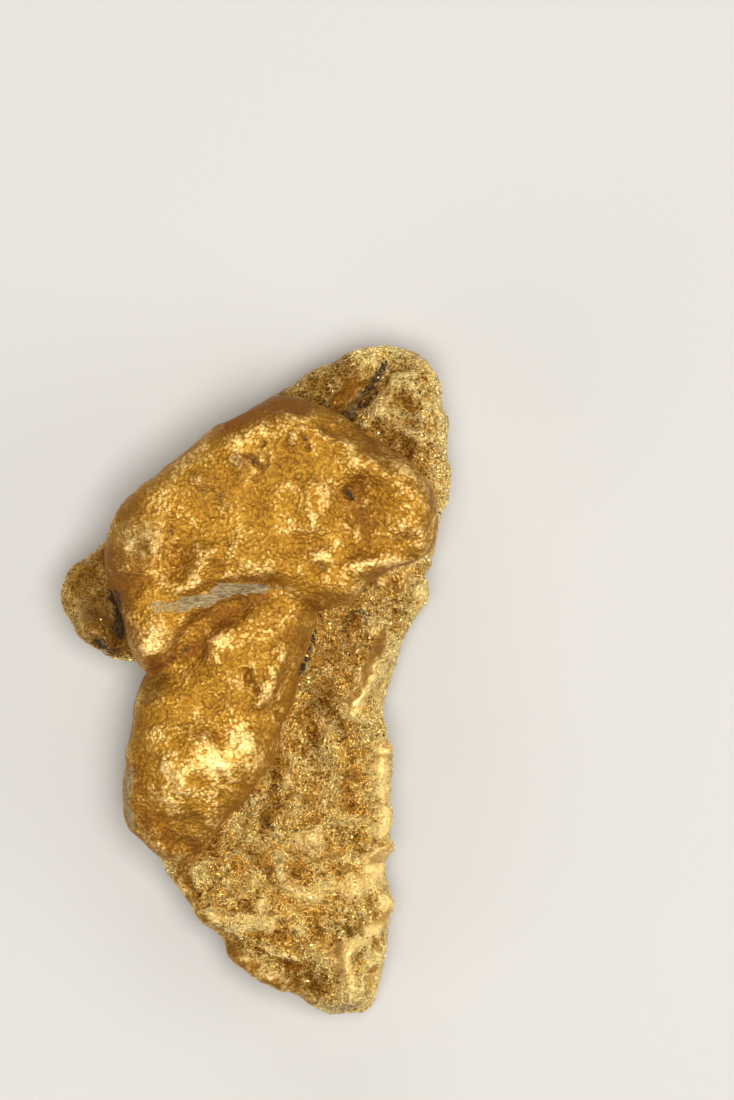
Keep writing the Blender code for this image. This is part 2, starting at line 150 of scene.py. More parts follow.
# A form is (height, half width, path), raised where height is above 0. Its path is (x, y).
# SWELLS have round sections, and CREASES come to a sharp line.
SWELLS = {
    "slab": [
        (-1.3, 2.4, [(8, 6.5), (6, 3), (5.2, -1), (4, -4.4)]),
        (-0.8, 1.6, [(9.6, 8.4), (11.5, 8.8)]),
        (1.1, 1.7, [(13.2, 8), (11.6, 5.6), (10.6, 2.8), (9, -0.4), (7.8, -2.4)]),
        (0.7, 0.8, [(9.7, 1.9), (10.3, 2.7), (10.9, 3.6)]),
        (0.6, 0.9, [(9.3, 0.7), (8.7, -0.8), (8, -1.9)]), (0.5, 0.6, [(10.6, 8.3)]),
        (0.5, 0.5, [(12, 7.3), (12.4, 8.6)]), (0.5, 0.8, [(11.9, 5.9)]), (0.6, 0.9, [(14, 6.9)]),
        (-0.8, 1, [(8.3, 4.9)]), (0.3, 1.2, [(6, 0.6)]),
        (1, 1.6, [(9, -3.2), (10.3, -6), (10.2, -11), (10.3, -14)]), (0.5, 0.8, [(10.4, -5.9)]),
        (0.4, 0.9, [(10.1, -10.7)]), (0.4, 0.8, [(10.2, -13.9)]),
        (-0.9, 1.8, [(8.2, -6.4), (8.2, -9.8)]), (-0.6, 1.2, [(8.6, -13)]),
        (-0.6, 1.2, [(4.8, -4.6)]), (0.5, 1.2, [(6.5, -3.8)]),
        (0.8, 1, [(2.1, -5.2), (3, -6.4), (4.2, -7.4)]),
        (-1, 1.2, [(1.9, -6.6), (1.2, -9.8), (0.8, -12.4)]), (0.5, 0.9, [(0, -9.8), (-1.6, -12)]),
        (0.6, 1.5, [(3.6, -10.4)]), (-0.5, 1, [(4, -12.2), (5.2, -11.6)]),
        (0.8, 1.5, [(4.8, -13.4)]), (-1, 1.4, [(3.8, -16.1)]),
        (0.8, 1.3, [(2, -15.2), (2.6, -16.8), (4.2, -18.2), (6, -17.2)]),
        (0.5, 0.9, [(7.6, -14.6), (8.4, -15)]), (-0.6, 0.9, [(6.4, -15.8), (8.6, -16)]),
        (1, 1.5, [(8.2, -17.4)]), (0.8, 1.2, [(10.6, -18.8)]),
        (-0.8, 1.5, [(2, -18.9), (5, -19.3)]), (0.5, 1.2, [(0.8, -19.2)]),
        (0.5, 1, [(0.2, -16.4), (-0.6, -17.6)]), (-0.6, 1.2, [(-1.6, -15.9)]),
        (0.9, 1.1, [(-4.4, -18.6), (-2.8, -20.2), (1.2, -20.2)]),
        (0.6, 1, [(-2, -21.2), (0.4, -22.1), (3.2, -23.1)]),
        (-1, 1.1, [(-3.4, -20.9), (0.8, -23.1), (4.2, -24.2)]),
        (0.8, 1, [(-2, -22.9), (0, -24.2), (2.6, -25.3)]),
        (-0.7, 1.1, [(-6.6, -15.4), (-4.6, -18.2)]), (0.6, 1.2, [(-4.4, -15.4), (-4.6, -16.8)]),
        (0.5, 1, [(3.6, -21)]), (-0.7, 1.1, [(6.6, -22.2), (5.4, -21.2)]),
        (0.5, 1.3, [(9.8, -20.7), (7.7, -22.9), (7.6, -26)]),
        (0.7, 2.4, [(9, -22.6), (8.8, -25.4)]), (-0.4, 0.9, [(9.6, -24.4), (9.5, -25.6)]),
        (-0.5, 1.5, [(5.2, -25.2)]), (0.4, 1, [(9.6, -23)]),
    ],
    "crown": [
        (-2, 2.1, [(12, 26.9), (10.2, 25.5), (8.9, 23.8), (7.4, 21.9)]),
        (0.4, 0.8, [(8.9, 24.8), (7.4, 23.2)]), (0.9, 1.6, [(12.2, 25.3)]),
        (0.5, 0.6, [(11, 24.6), (11.3, 26), (12.2, 26.6)]), (-0.5, 0.8, [(12.3, 24.9)]),
        (0.9, 1.5, [(10.2, 22.6), (11.2, 21.8)]), (-0.7, 1, [(11, 23.8), (13, 22.8)]),
        (-0.8, 1.3, [(12.6, 19.4), (11.6, 20.2)]), (0.4, 1.2, [(14.4, 20.4)]),
        (0.6, 0.9, [(15.5, 15.8)]), (0.5, 1.2, [(8.4, 26.8), (6.4, 25.6)]),
        (-0.5, 0.7, [(7.2, 26.7), (6.2, 26.2)]), (-0.3, 0.8, [(3.4, 24.3)]),
        (0.4, 0.8, [(13.7, 26.6), (15, 24.8)]),
    ],
    "upper lobe": [
        (0.5, 1.9, [(9, 18.2), (11.8, 17.2), (13.4, 15.6), (13.4, 11.6)]),
        (-0.9, 3, [(8.6, 15.6), (8.8, 12.6)]), (-0.3, 2, [(11.2, 13.4)]),
        (0.45, 1.1, [(8.6, 9.3), (10.2, 9.9), (13.4, 10.6)]),
        (-0.5, 1.2, [(7.2, 10.4), (9.6, 11.2), (12.2, 11.6)]), (0.6, 2.3, [(5, 15.2), (4.2, 12.8)]),
        (0.3, 1.1, [(5.2, 10.3)]), (-0.3, 0.55, [(5.4, 9.5)]),
        (-0.4, 1.6, [(2.6, 10.9), (6.8, 11.8)]), (0.35, 1.6, [(5.6, 8.3), (8.2, 7.6)]),
        (-0.3, 1.5, [(1.2, 16.4), (2.6, 17.6)]), (0.3, 1.6, [(3.3, 20.2), (2.4, 21.8)]),
        (0.45, 1.1, [(-1.3, 18.3)]), (-0.25, 1.1, [(-0.5, 19.1), (-0.2, 18.3), (0.4, 17.3)]),
        (0.35, 0.9, [(3.3, 19.8)]), (0.3, 1.1, [(-4.8, 16.5), (-3.9, 16.2)]),
        (0.3, 1.4, [(-2.2, 20.4), (0.2, 20.9)]), (-0.6, 1.3, [(6, 21.3), (7.9, 20.7)]),
        (-0.4, 1.2, [(9, 19.6), (11.2, 18.4)]), (-0.4, 1, [(1.6, 22.9), (3.8, 22.7)]),
        (0.6, 3, [(-9.6, 12.4)]), (0.35, 1.9, [(-10.4, 10.2)]),
        (-0.6, 2, [(-10.8, 7.4), (-8.2, 8), (-6.4, 9.8)]),
        (-0.5, 2.4, [(-6, 10.6), (-5.2, 12.8), (-3.6, 14.2)]),
        (-0.3, 2, [(-2.6, 13.2), (0.6, 13.4), (3.4, 12.4)]),
        (0.6, 1.9, [(-8, 6.7), (-5.6, 8.2), (-4.5, 10.4)]),
        (0.3, 1.7, [(-2.4, 10.8), (0.6, 10.2), (3.2, 9.4)]),
        (-0.25, 1, [(-2.2, 12.3), (-2.9, 9.2)]),
        (-0.5, 1.2, [(-8.4, 6.4), (-5, 6.9), (-1.6, 7.8), (1.6, 8.1)]),
        (0.4, 2.2, [(-8.4, 4.2), (-8.2, 2.9)]),
    ],
    "lower lobe": [
        (-0.9, 1.9, [(-9, 0.4), (-6.4, 1.5), (-4.8, 3.5), (-3.4, 5.3), (-1.4, 6.3)]),
        (0.35, 1.5, [(-3.4, 1.6)]), (0.5, 0.9, [(2.5, 2.9), (1.7, 0.9), (0.9, -0.6), (0.4, -1.8)]),
        (-0.35, 0.9, [(2.9, 0.2), (2.5, -1.6)]), (0.35, 1.5, [(-1.5, -2.2)]),
        (-0.25, 0.9, [(-9, -1.2), (-6.4, -0.2), (-3.6, 1.4)]),
        (-0.25, 1.3, [(-8.8, -3.4), (-6.2, -2.8), (-3.4, -1.6)]),
        (-0.2, 1.6, [(-9, -7), (-8.8, -9.8)]), (0.5, 3.4, [(-5.2, -7.4), (-1.9, -5.4)]),
        (0.3, 1.2, [(-4.4, -4.9)]), (0.3, 1.3, [(-0.6, -5)]),
        (-0.2, 0.9, [(-2.9, -3.8), (-2.5, -5.2), (-1.9, -6.3)]),
        (0.25, 1.2, [(-6.8, -6.6), (-5.6, -8.8)]), (-0.25, 1, [(-7.6, -11.7), (-4.6, -11.6)]),
        (0.3, 1.1, [(-8, -12.2)]), (-0.5, 1.2, [(-6.8, -13.4), (-5.2, -13.8)]),
    ],
    "knob": [
        (-0.5, 0.9, [(-14.4, 9.2), (-12.8, 8.7)]), (0.3, 1, [(-13.9, 9.4)]),
        (0.4, 1.2, [(-14.2, 6.4)]), (-0.5, 0.9, [(-13.2, 3.4)]),
    ],
}
CREASES = {
    "slab": [
        (-0.6, 0.6, [(9.1, 1.7), (9.3, 2.6), (10, 3.6)]), (-0.5, 0.5, [(11.4, 6.4), (11.2, 5.5)]),
        (-0.6, 0.5, [(13.3, 6.8)]), (-0.5, 0.8, [(9.9, -6.6), (9.8, -7.2)]),
        (-0.5, 0.5, [(6.7, -16.2), (6.8, -17.8), (7.6, -18.9)]),
        (-0.4, 0.5, [(2.9, -25.6), (3.4, -24.9)]),
        (-0.5, 0.6, [(-3, -21.2), (0, -22.8), (2, -23.5)]),
    ],
    "crown": [
        (-1.2, 0.9, [(10.9, 26.1), (10, 25.2), (9.2, 23.6), (7.9, 22)]),
        (-0.7, 0.6, [(9.6, 26), (8, 24.8), (6.6, 23.7), (5.6, 23.1)]),
        (-0.4, 0.4, [(9.2, 25.1), (7.8, 23.9), (6.9, 22.9)]),
    ],
    "upper lobe": [
        (-0.55, 0.4, [(7.4, 15.8), (7.9, 15.2)]), (-0.4, 0.4, [(6.2, 16.2)]),
        (-0.35, 0.35, [(7.7, 13.6), (7.9, 13.1)]),
        (-0.5, 0.35, [(-0.6, 19.1), (-0.1, 18.7), (-0.2, 18.3), (0.45, 17.6), (0, 16.8)]),
        (-0.4, 0.3, [(0.6, 18.9), (0.9, 18), (0.3, 17.9)]), (-0.5, 0.4, [(0.55, 19.8)]),
        (-0.45, 0.35, [(4.1, 20.4), (4.3, 19.7), (4.7, 19)]), (-0.3, 0.4, [(-3, 18.9)]),
        (-0.25, 0.35, [(-3.7, 18.5)]), (-0.2, 0.35, [(-3.4, 15.8), (-4, 15.6), (-5.2, 15.3)]),
        (-0.25, 0.5, [(-6.3, 14.6), (-6.9, 13.3), (-6.8, 12), (-7.4, 11)]),
        (-0.4, 0.45, [(-9.6, 11.3), (-8.8, 11), (-8.5, 10.4), (-8.9, 9.7)]),
    ],
    "lower lobe": [
        (-0.55, 0.45, [(1.9, -0.8), (1.8, -1.7), (2, -3)]),
        (-0.6, 0.6, [(-0.4, 0.9), (-0.6, 0.2), (-0.1, -0.7)]),
        (-0.3, 0.45, [(-2.9, -7.4), (-2.4, -8.4), (-1.2, -8.8), (0.2, -8.5)]),
        (-0.3, 0.35, [(-1.4, -3.9), (-1.3, -4.8), (-1.8, -5.6)]),
        (-0.3, 0.3, [(-2.7, -8.9), (-2.6, -9.7)]),
    ],
    "knob": [
        (-0.5, 0.5, [(-14.6, 9.6), (-14.2, 8.8), (-13.4, 8.4)]),
        (-0.4, 0.6, [(-13, 7), (-13.4, 6), (-12.7, 5)]), (-0.3, 0.4, [(-14.8, 5), (-13.9, 4.7)]),
    ],
}

# The undersides' forms, where height above 0 stands down from the surface.
UNDERSIDES = {
    "slab": [
        (1.3, 3.4, [(9, 8.5), (8.6, 4.5)]), (1.3, 3, [(-3.6, -3.5), (-4.4, -8.5)]),
        (1.5, 3.2, [(6.6, -20.5), (7.4, -24)]), (1, 2.6, [(6.6, -8.5), (6.2, -12.5)]),
        (-1.3, 3.2, [(2.4, -16), (-1.6, -12.6)]), (-1.5, 3.4, [(1.6, 6.4), (2.6, 0.5), (1.8, -5)]),
        (-0.9, 1.3, [(10.6, -2), (7.6, -3.2), (4.6, -1.4)]),
        (-0.9, 1.3, [(9.4, -16.6), (6.4, -17.6), (3.6, -20.6)]),
        (-0.8, 1.4, [(-7.4, 3.6), (-4.8, 1.4), (-0.6, 1.2)]),
    ],
    "crown": [
        (1.4, 3.2, [(11.6, 20.5), (12.4, 17)]), (1.2, 2.8, [(0.2, 18.2), (2.6, 17)]),
        (-1.3, 2.4, [(6.4, 25.2), (7, 21), (7.4, 15.4)]),
        (-0.8, 1.2, [(14.8, 24.4), (12, 24), (9.6, 25.8)]),
    ],
    "upper lobe": [(-0.8, 1.4, [(-9.6, 12.6), (-6.4, 12), (-4.2, 14.6)])],
    "lower lobe": [(-0.8, 1.3, [(-10.2, -6), (-7.4, -7.4), (-6.6, -11)])],
}

# Where masses run smoothly into each other, as (share levelled, half width, path).
SOFT_PLACES = [
    (1, 2.4, [(2.4, 7.2), (4.4, 6.8)]),
    (0.9, 1.6, [(-8.4, 0.6), (-6.4, 2), (-5.4, 3.6), (-4.6, 5.2)]),
    (0.6, 1.2, [(-4.6, 5.4), (-2, 6.3), (0.6, 7)]),
]

# Where the finish changes on the front, as (strength, half width, path). Strength is added to
# the mask of that name, and below 0 it takes away.
FINISH_PATCHES = {
    "rough": [
        (0.55, 3.4, [(-9.4, 11.6)]), (0.45, 2.4, [(-8.4, 3.6)]), (0.35, 2, [(0, 18.2)]),
        (-0.8, 1.6, [(-6.8, -17.2), (-3.4, -21.6), (0, -24.9), (3.8, -26.9)]),
        (-0.6, 1.6, [(9.4, 25.6), (7.4, 23.4)]),
    ],
    # Rubbed smooth places, paler and less rough; the broad patch on the lower lobe's bulge is also
    # painted highlight, paled where light falls on it
    "polish": [
        (0.85, 4, [(-5.8, -7.8), (-3.6, -6.6), (-1.2, -5.4)]), (0.25, 1, [(0.8, -1.2), (2.4, 1.6)]),
        (0.35, 2, [(-2.6, 3), (0.6, 4), (3.4, 5.4)]), (0.45, 1.5, [(-4.7, 16.4)]),
        (0.45, 1.4, [(-1.8, 20.3)]), (0.4, 1.6, [(-5.6, 8.8), (-4.6, 11)]),
        (0.5, 2, [(13.2, 12), (13.2, 15.4), (11.4, 17.4)]),
        (0.15, 1, [(8.6, 9.3), (10.4, 10), (13.2, 10.6)]), (0.45, 1.4, [(4.6, 14.6), (6.2, 14.6)]),
        (0.4, 1.4, [(4.4, 10.4), (6, 10.2)]), (0.35, 1.8, [(-9, 4.6), (-8.4, 3.2)]),
        (0.9, 1, [(9.8, 2.1), (10.3, 2.8), (10.8, 3.6)]),
        (0.9, 1.3, [(9.3, 0.9), (8.8, -0.6), (8.2, -1.6), (7.9, -2.4)]),
        (0.6, 1, [(11.4, 1.8), (10.2, -1.8)]), (0.7, 0.9, [(9.8, 4.6), (10.6, 4.4)]),
        (0.8, 0.8, [(10.6, 8.5)]), (0.8, 0.6, [(12.1, 7.4), (12.4, 8.6)]),
        (0.6, 0.6, [(10.6, 6.5)]), (0.7, 0.8, [(14, 7.2)]),
        (0.8, 1.5, [(10.7, -5.8), (10.9, -9), (10.8, -13.6), (11, -18.6), (10.6, -20.4)]),
        (0.7, 1.2, [(3.8, -13.4), (5, -13.6)]),
        (0.5, 1, [(2.7, -16.4), (3.4, -17.8), (4.8, -17.9), (6.2, -17.3)]),
        (0.8, 1.5, [(7.8, -17.4), (9.2, -16.9), (9.8, -15.4)]),
        (0.6, 1.2, [(7.6, -22.4), (9, -21.2), (10.6, -20.2)]),
        (0.8, 1.3, [(7.2, -23.2), (7.8, -25.6)]),
        (0.5, 1, [(-3.4, -19.8), (-0.6, -20.2), (1.6, -20.2)]), (0.5, 0.8, [(0.6, -18.8)]),
        (0.6, 0.7, [(5.8, -4.5), (6.4, -3.7)]), (0.6, 1.4, [(11.2, 24.4), (12.2, 25.6)]),
        (0.6, 1.2, [(10.2, 22.2), (11.4, 21.8)]),
    ],
    "specks": [
        (0.16, 3, [(-8.8, 12.5), (-10, 9.8)]), (0.22, 1.3, [(-1.2, 18.3)]),
        (0.16, 2, [(-4.5, 15.6), (-1.5, 14.5)]), (0.24, 1.2, [(-6.5, 4)]),
        (0.15, 2.4, [(7.4, 15.2)]), (0.2, 2.6, [(-14, 5.5)]), (0.18, 1.4, [(7, -27.5)]),
    ],
    "mineral": [
        (0.6, 0.9, [(-8.2, 6.2), (-6.4, 6.3), (-5.4, 6.6)]),
        (1, 1, [(-5.4, 6.5), (-3.9, 6.8), (-2.4, 7.4)]),
        (0.9, 0.8, [(-2.4, 7.4), (-0.8, 7.8), (0.4, 7.9)]), (0.5, 0.5, [(0.4, 7.9), (2, 8)]),
        (0.6, 0.9, [(8.6, 23.6), (7.4, 22.2)]), (0.5, 0.7, [(6.2, 23.6), (5.6, 23.2)]),
        (0.7, 1, [(-10.6, -7.4), (-10.8, -10), (-10.2, -12)]),
        (0.5, 0.9, [(-10, -0.8), (-10.2, -3.4)]), (0.6, 1, [(5.5, -27.3), (9, -27.2)]),
        (0.25, 0.8, [(-1.2, 18.2)]), (0.4, 0.7, [(5.4, 9.4)]), (0.4, 0.7, [(2.7, -11)]),
    ],
    # Iron stains, and painted shade: the band and trough below the mineral slot, the knob and the
    # upper left edge by the crown are darkened where they lie in shade
    "stain": [
        (0.7, 1.3, [(-5, 5.2), (-2.4, 5.9), (0.4, 6.8)]),
        (0.9, 1.3, [(-2.2, 5.4), (-4.2, 3.6), (-6, 2.3), (-8.4, 0.9)]),
        (0.25, 1.7, [(-10, 7.5), (-7.4, 8.3), (-6, 10.2), (-5.6, 11.6)]),
        (0.8, 2.4, [(8.6, 15.4), (8.7, 12.6)]), (1, 3.2, [(-9.6, 12.6), (-10.2, 9.6)]),
        (0.4, 1.6, [(-9.6, -6), (-9.4, -10)]),
        (0.7, 2.2, [(-9.4, -11.4), (-6.6, -13.8), (-4.4, -14.4)]),
        (0.3, 2.6, [(-8.4, -11.8), (-5.4, -12.8)]),
        (0.25, 1.4, [(8, 20.6), (10, 19.6), (12.4, 18.4)]), (0.6, 1.3, [(1.2, 23.2), (4.4, 23)]),
        (0.7, 1.8, [(9.6, 25.6), (7.4, 22.6)]), (1.5, 2.8, [(-2, 21.8), (3, 24.2), (6.8, 25.8)]),
        (1.9, 4.8, [(-14.2, 8.4), (-13.4, 4.2)]), (0.4, 4, [(11.4, 18.6), (12.6, 25)]),
        (0.4, 3.4, [(4.4, -25.2), (8.2, -27)]),
        (0.8, 2.4, [(-6.8, -17), (-3.2, -21.9), (0.4, -24.8), (4.2, -26.6)]),
        (0.6, 1.4, [(5.4, -1.4), (7.2, -4)]), (0.35, 1.2, [(1.4, -8), (0.8, -11.6)]),
    ],
    # Dirt in pits and cracks, and painted shade: the knob's cavity, the gap under the lower lobe's
    # right edge and the crown's upper left edge are darkened where they lie in shade
    "dark": [
        (0.7, 0.5, [(7.6, 15.6), (8, 15.1)]), (0.45, 0.35, [(-0.5, 19), (-0.1, 18.2), (0.4, 17.6)]),
        (0.4, 0.3, [(0.7, 18.8), (0.6, 18)]), (0.6, 0.4, [(0.6, 19.8)]),
        (0.6, 0.3, [(4.2, 20.3), (4.7, 19)]), (0.5, 0.5, [(-6.8, 12.6), (-6.8, 12)]),
        (0.45, 0.45, [(-8.8, 11.1), (-8.5, 10.4)]),
        (0.5, 0.5, [(-5.4, 3.2), (-6.2, 2.3), (-7.4, 1.5)]),
        (1, 1, [(-11.4, 4.2), (-11.3, 6.2), (-11.7, 7)]), (0.8, 1, [(-13.2, 3.2), (-12.2, 2.6)]),
        (0.55, 0.5, [(7.5, 4.6), (7.6, 5.3), (8.1, 5.8), (8.7, 5.8), (9.1, 5.4), (9.2, 4.8)]),
        (0.35, 0.6, [(10.6, 26), (9.6, 24.6), (8.4, 23)]),
        (0.35, 1.3, [(11.9, 27), (10.5, 25.7), (9.2, 24.1), (7.7, 22.3)]),
        (0.6, 0.9, [(4.9, 4), (3.7, 0.6)]), (0.2, 1.2, [(4.4, -16)]),
        (0.35, 2.4, [(1.4, 24), (5, 26.2), (8.4, 27.6)]), (0.2, 3.4, [(-13.8, 6.6)]),
        (0.4, 0.35, [(-5.4, 5.9), (-3.4, 6.2), (-1.6, 6.9), (0.2, 7.4)]),
        (0.5, 0.8, [(1, -11.8), (2.2, -13.4)]),
    ],
}
MASSES = (SLAB, CROWN, UPPER_LOBE, LOWER_LOBE, KNOB, NECK)

# ------------------------------------------------------------------ sizes and colours to change


def size_mm(name, size, description):
    """A length, whose default is given in millimetres."""
    return bpy.props.FloatProperty(
        name=name, description=description, default=size * MM, min=0.0, unit="LENGTH", precision=5
    )


def colour_of(name, colour, description):
    return bpy.props.FloatVectorProperty(
        name=name, description=description, default=(*colour, 1.0), subtype="COLOR", size=4,
        min=0, max=1,
    )


def power_of(name, power, description):
    return bpy.props.FloatProperty(
        name=name, description=description, default=power, min=0.0, unit="POWER"
    )


class NuggetFormSettings(bpy.types.PropertyGroup):
    """Sizes of the finest forms, and of the steps that shape them"""

    spacing: size_mm("Shaping spacing", 0.19, "Distance between points while a mass is shaped")
    skin_spacing: size_mm("Skin spacing", 0.13, "Distance between points of the joined skin")
    stray: size_mm("Stray", 0.45, "How far a crease or ridge strays from its drawn path")
    wrinkle_depth: size_mm("Wrinkle depth", 0.02, "Depth of wrinkles on the smooth lobes")
    wrinkle_size: size_mm("Wrinkle size", 0.8, "Spacing of wrinkles on the smooth lobes")
    dent_depth: size_mm("Dent depth", 0.12, "Depth of hammered dents on the smooth lobes")
    dent_size: size_mm("Dent size", 2.4, "Width of hammered dents on the smooth lobes")
    grain_depth: size_mm("Grain depth", 0.09, "Depth of the gaps between grains on rough gold")
    grain_size: size_mm("Grain size", 0.38, "Width of a grain on rough gold")
    clot_height: size_mm("Clot height", 0.42, "Height of the clots on rough gold")
    clot_size: size_mm("Clot size", 2.0, "Width of the clots on rough gold")


class NuggetFinishSettings(bpy.types.PropertyGroup):
    """Colours of the gold, and of what has settled on it"""

    # Clean smooth gold; on rough gold it is also the deeper tone of hollows and of painted shade
    gold: colour_of("Gold", (0.44, 0.225, 0.026), "Clean smooth gold")
    # Pale gold of rubbed places, also the painted highlight on raised places and on the lower
    # lobe's bulge
    wear_and_highlight_gold: colour_of("Worn gold", (0.88, 0.62, 0.23), "Pale gold of the rubbed high spots")
    # Also the painted highlight on the tops of the rough grains
    crest_gold: colour_of("Crest gold", (1.0, 0.8, 0.32), "Crests of the rough gold")
    # Deep gold is also the painted shade on steep flanks, in hollows and between pebbles
    deep_gold: colour_of("Deep gold", (0.25, 0.105, 0.013), "Gold in hollows and under thin stains")
    pale_gold: colour_of("Pale gold", (0.93, 0.6, 0.14), "Rough gold")
    # Iron stain, which also paints the shade where stain and painted shade run strongest, as on the
    # knob
    iron_stain_and_shade: colour_of("Iron stain", (0.26, 0.1, 0.018), "Rusty stain on the gold")
    # Gaps between the grains: stain in them, and painted shade
    gap: colour_of("Gap", (0.1, 0.04, 0.009), "Stained gaps between the grains")
    specks: colour_of("Specks", (0.11, 0.07, 0.045), "Grey mineral specks on the gold")
    mineral: colour_of("Mineral", (0.31, 0.25, 0.135), "Grey-green mineral grown into the gold")
    # Dirt in the pits, which also paints the shade in the knob's cavity and under the lower lobe's
    # edge
    dirt: colour_of("Dirt", (0.05, 0.026, 0.011), "Dirt in the pits")


class NuggetGrainSettings(bpy.types.PropertyGroup):
    """Sizes and numbers of the loose grains"""

    size: size_mm("Loose grain size", 0.26, "Mean width of a gold grain")
    per_square_mm: bpy.props.FloatProperty(
        name="Grains per square millimetre", description="On the most granular gold",
        default=3.0, min=0.0,
    )
    grit_size: size_mm("Grit size", 0.2, "Mean width of a dirt grain")
    grit_per_square_mm: bpy.props.FloatProperty(
        name="Grit per square millimetre", description="In the dirtiest pits",
        default=10.0, min=0.0,
    )
    seed: bpy.props.IntProperty(name="Seed", description="Where the grains fall", default=7)


class NuggetStageSettings(bpy.types.PropertyGroup):
    """Colour of the floor, and the lights"""

    floor: colour_of("Floor", (0.44, 0.427, 0.4), "Plain studio floor")
    surround: colour_of("Surround", (0.1, 0.065, 0.036), "Dim light from all round")
    front_power: power_of("Front light", 5.5, "Power of the softbox round the camera")
    right_power: power_of("Right light", 1.3, "Power of the softbox on the right")
    left_power: power_of("Left light", 0.8, "Power of the softbox on the left")
    far_power: power_of("Far light", 0.8, "Power of the softbox beyond the nugget")


# ------------------------------------------------------------------ shaping tools

RING_POINTS = 240
RINGS = 32
RING_REACH = 89.9        # degrees above and below the rim that a mass's rings run to
SIDE_WINDOW = 9          # ring points each side that smooth an outline away from its rim
STRAY_LENGTHS = ((2.6, 1.0), (0.8, 0.35))  # (length, share of the stray) of each straying
STRAY_SHIFTS = ((17.3, 5.1, 9.7), (3.9, 21.4, 13.2))
FORM_UNEVENNESS = 0.35   # share by which a form's height varies along it
FORM_LENGTH = 1.5
FORM_FACING = 2.5        # how fast forms set in where the surface turns up or down
SIDE_LUMPS = 0.4         # share of a mass's lumps that its upright sides keep
CREASE_SHARPNESS = 1.6
FLANK_SWELL = 0.9
FLANK_LENGTH = 5.5
FLANK_DEPTH = 3.0
SEAM_LEVEL = 6.0         # height of the seam between the front and back of the skin
SIDES = (("nugget_front", 1, 195000), ("nugget_back", -1, 120000))


def closed_curve(points, count):
    """`count` evenly spaced points on the smooth closed curve through `points`."""
    points = np.array(points)
    before = np.roll(points, 1, axis=0)
    after = np.roll(points, -1, axis=0)
    later = np.roll(points, -2, axis=0)
    stretches = []
    for step in np.arange(8) / 8:
        linear = (after - before) * step
        square = (2 * before - 5 * points + 4 * after - later) * step**2
        cube = (3 * points - before - 3 * after + later) * step**3
        stretches.append((2 * points + linear + square + cube) / 2)
    dense = np.stack(stretches, axis=1).reshape(-1, 2)
    dense = np.vstack([dense, dense[:1]])
    run = np.concatenate([[0], np.cumsum(np.linalg.norm(np.diff(dense, axis=0), axis=1))])
    at = np.linspace(0, run[-1], count, endpoint=False)
    return np.stack([np.interp(at, run, dense[:, axis]) for axis in (0, 1)], axis=1)


def nearest_on_path(places, path):
    """Distance from each (x, y) to the path, and the path point's own values there."""
    path = np.array(path, float)
    nearest = np.linalg.norm(places - path[0, :2], axis=1)
    values = np.repeat(path[:1], len(places), axis=0)
    for start, end in zip(path, path[1:]):
        run = (end - start)[:2]
        share = np.clip((places - start[:2]) @ run / (run @ run), 0, 1)
        on_path = start + share[:, None] * (end - start)
        distance = np.linalg.norm(places - on_path[:, :2], axis=1)
        closer = distance < nearest
        nearest[closer] = distance[closer]
        values[closer] = on_path[closer]
    return nearest, values


def mesh_from(bm, name):
    mesh = bpy.data.meshes.new(name)
    bm.to_mesh(mesh)
    bm.free()
    return mesh


def ringed_mesh(mass):
    """A closed mesh of rings that swell from a low spine to the outline and back to a high one."""
    edge = closed_curve(mass.outline, RING_POINTS)
    window = range(-SIDE_WINDOW, SIDE_WINDOW + 1)
    side = sum(np.roll(edge, shift, axis=0) for shift in window) / len(window)
    _, core = nearest_on_path(edge, mass.spine)
    bm = bmesh.new()
    rings = []
    for angle in np.radians(np.linspace(-RING_REACH, RING_REACH, RINGS)):
        squareness = mass.boxy if angle > 0 else mass.keel
        width = math.cos(angle) ** (2 / squareness)
        climb = abs(math.sin(angle)) ** (2 / squareness)
        around = edge + (side - edge) * climb
        places = core[:, :2] + (around - core[:, :2]) * width
        end = core[:, 3] if angle > 0 else core[:, 2]
        heights = mass.rim + (end - mass.rim) * climb
        rings.append([bm.verts.new((*place, z)) for place, z in zip(places, heights)])
    for lower, upper in zip(rings, rings[1:]):
        for here in range(RING_POINTS):
            there = (here + 1) % RING_POINTS
            bm.faces.new((lower[here], lower[there], upper[there], upper[here]))
    caps = [bm.faces.new(rings[0]), bm.faces.new(rings[-1])]
    bmesh.ops.triangulate(bm, faces=caps, ngon_method="BEAUTY")
    bmesh.ops.recalc_face_normals(bm, faces=bm.faces)
    return mesh_from(bm, mass.name)


def with_modifiers(mesh, add_modifiers):
    """The mesh as the modifiers that `add_modifiers` puts on an object leave it."""
    holder = bpy.data.objects.new(mesh.name, mesh)
    bpy.context.scene.collection.objects.link(holder)
    add_modifiers(holder.modifiers)
    graph = bpy.context.evaluated_depsgraph_get()
    result = bpy.data.meshes.new_from_object(holder.evaluated_get(graph))
    bpy.data.objects.remove(holder)
    return result


def voxel_remesh(modifiers, spacing, smoothing_passes=0):
    remesh = modifiers.new("Remesh", "REMESH")
    remesh.mode = "VOXEL"
    remesh.voxel_size = spacing
    if smoothing_passes:
        smooth = modifiers.new("Smooth", "SMOOTH")
        smooth.iterations = smoothing_passes


def vertex_values(mesh, collection="vertices", attribute="co"):
    values = np.empty(len(mesh.vertices) * 3, np.float32)
    getattr(mesh, collection).foreach_get(attribute, values)
    return values.reshape(-1, 3).astype(float)


def vertex_normals(mesh):
    return vertex_values(mesh, "vertex_normals", "vector")


def place_vertices(mesh, places):
    mesh.vertices.foreach_set("co", places.astype(np.float32).ravel())
    mesh.update()


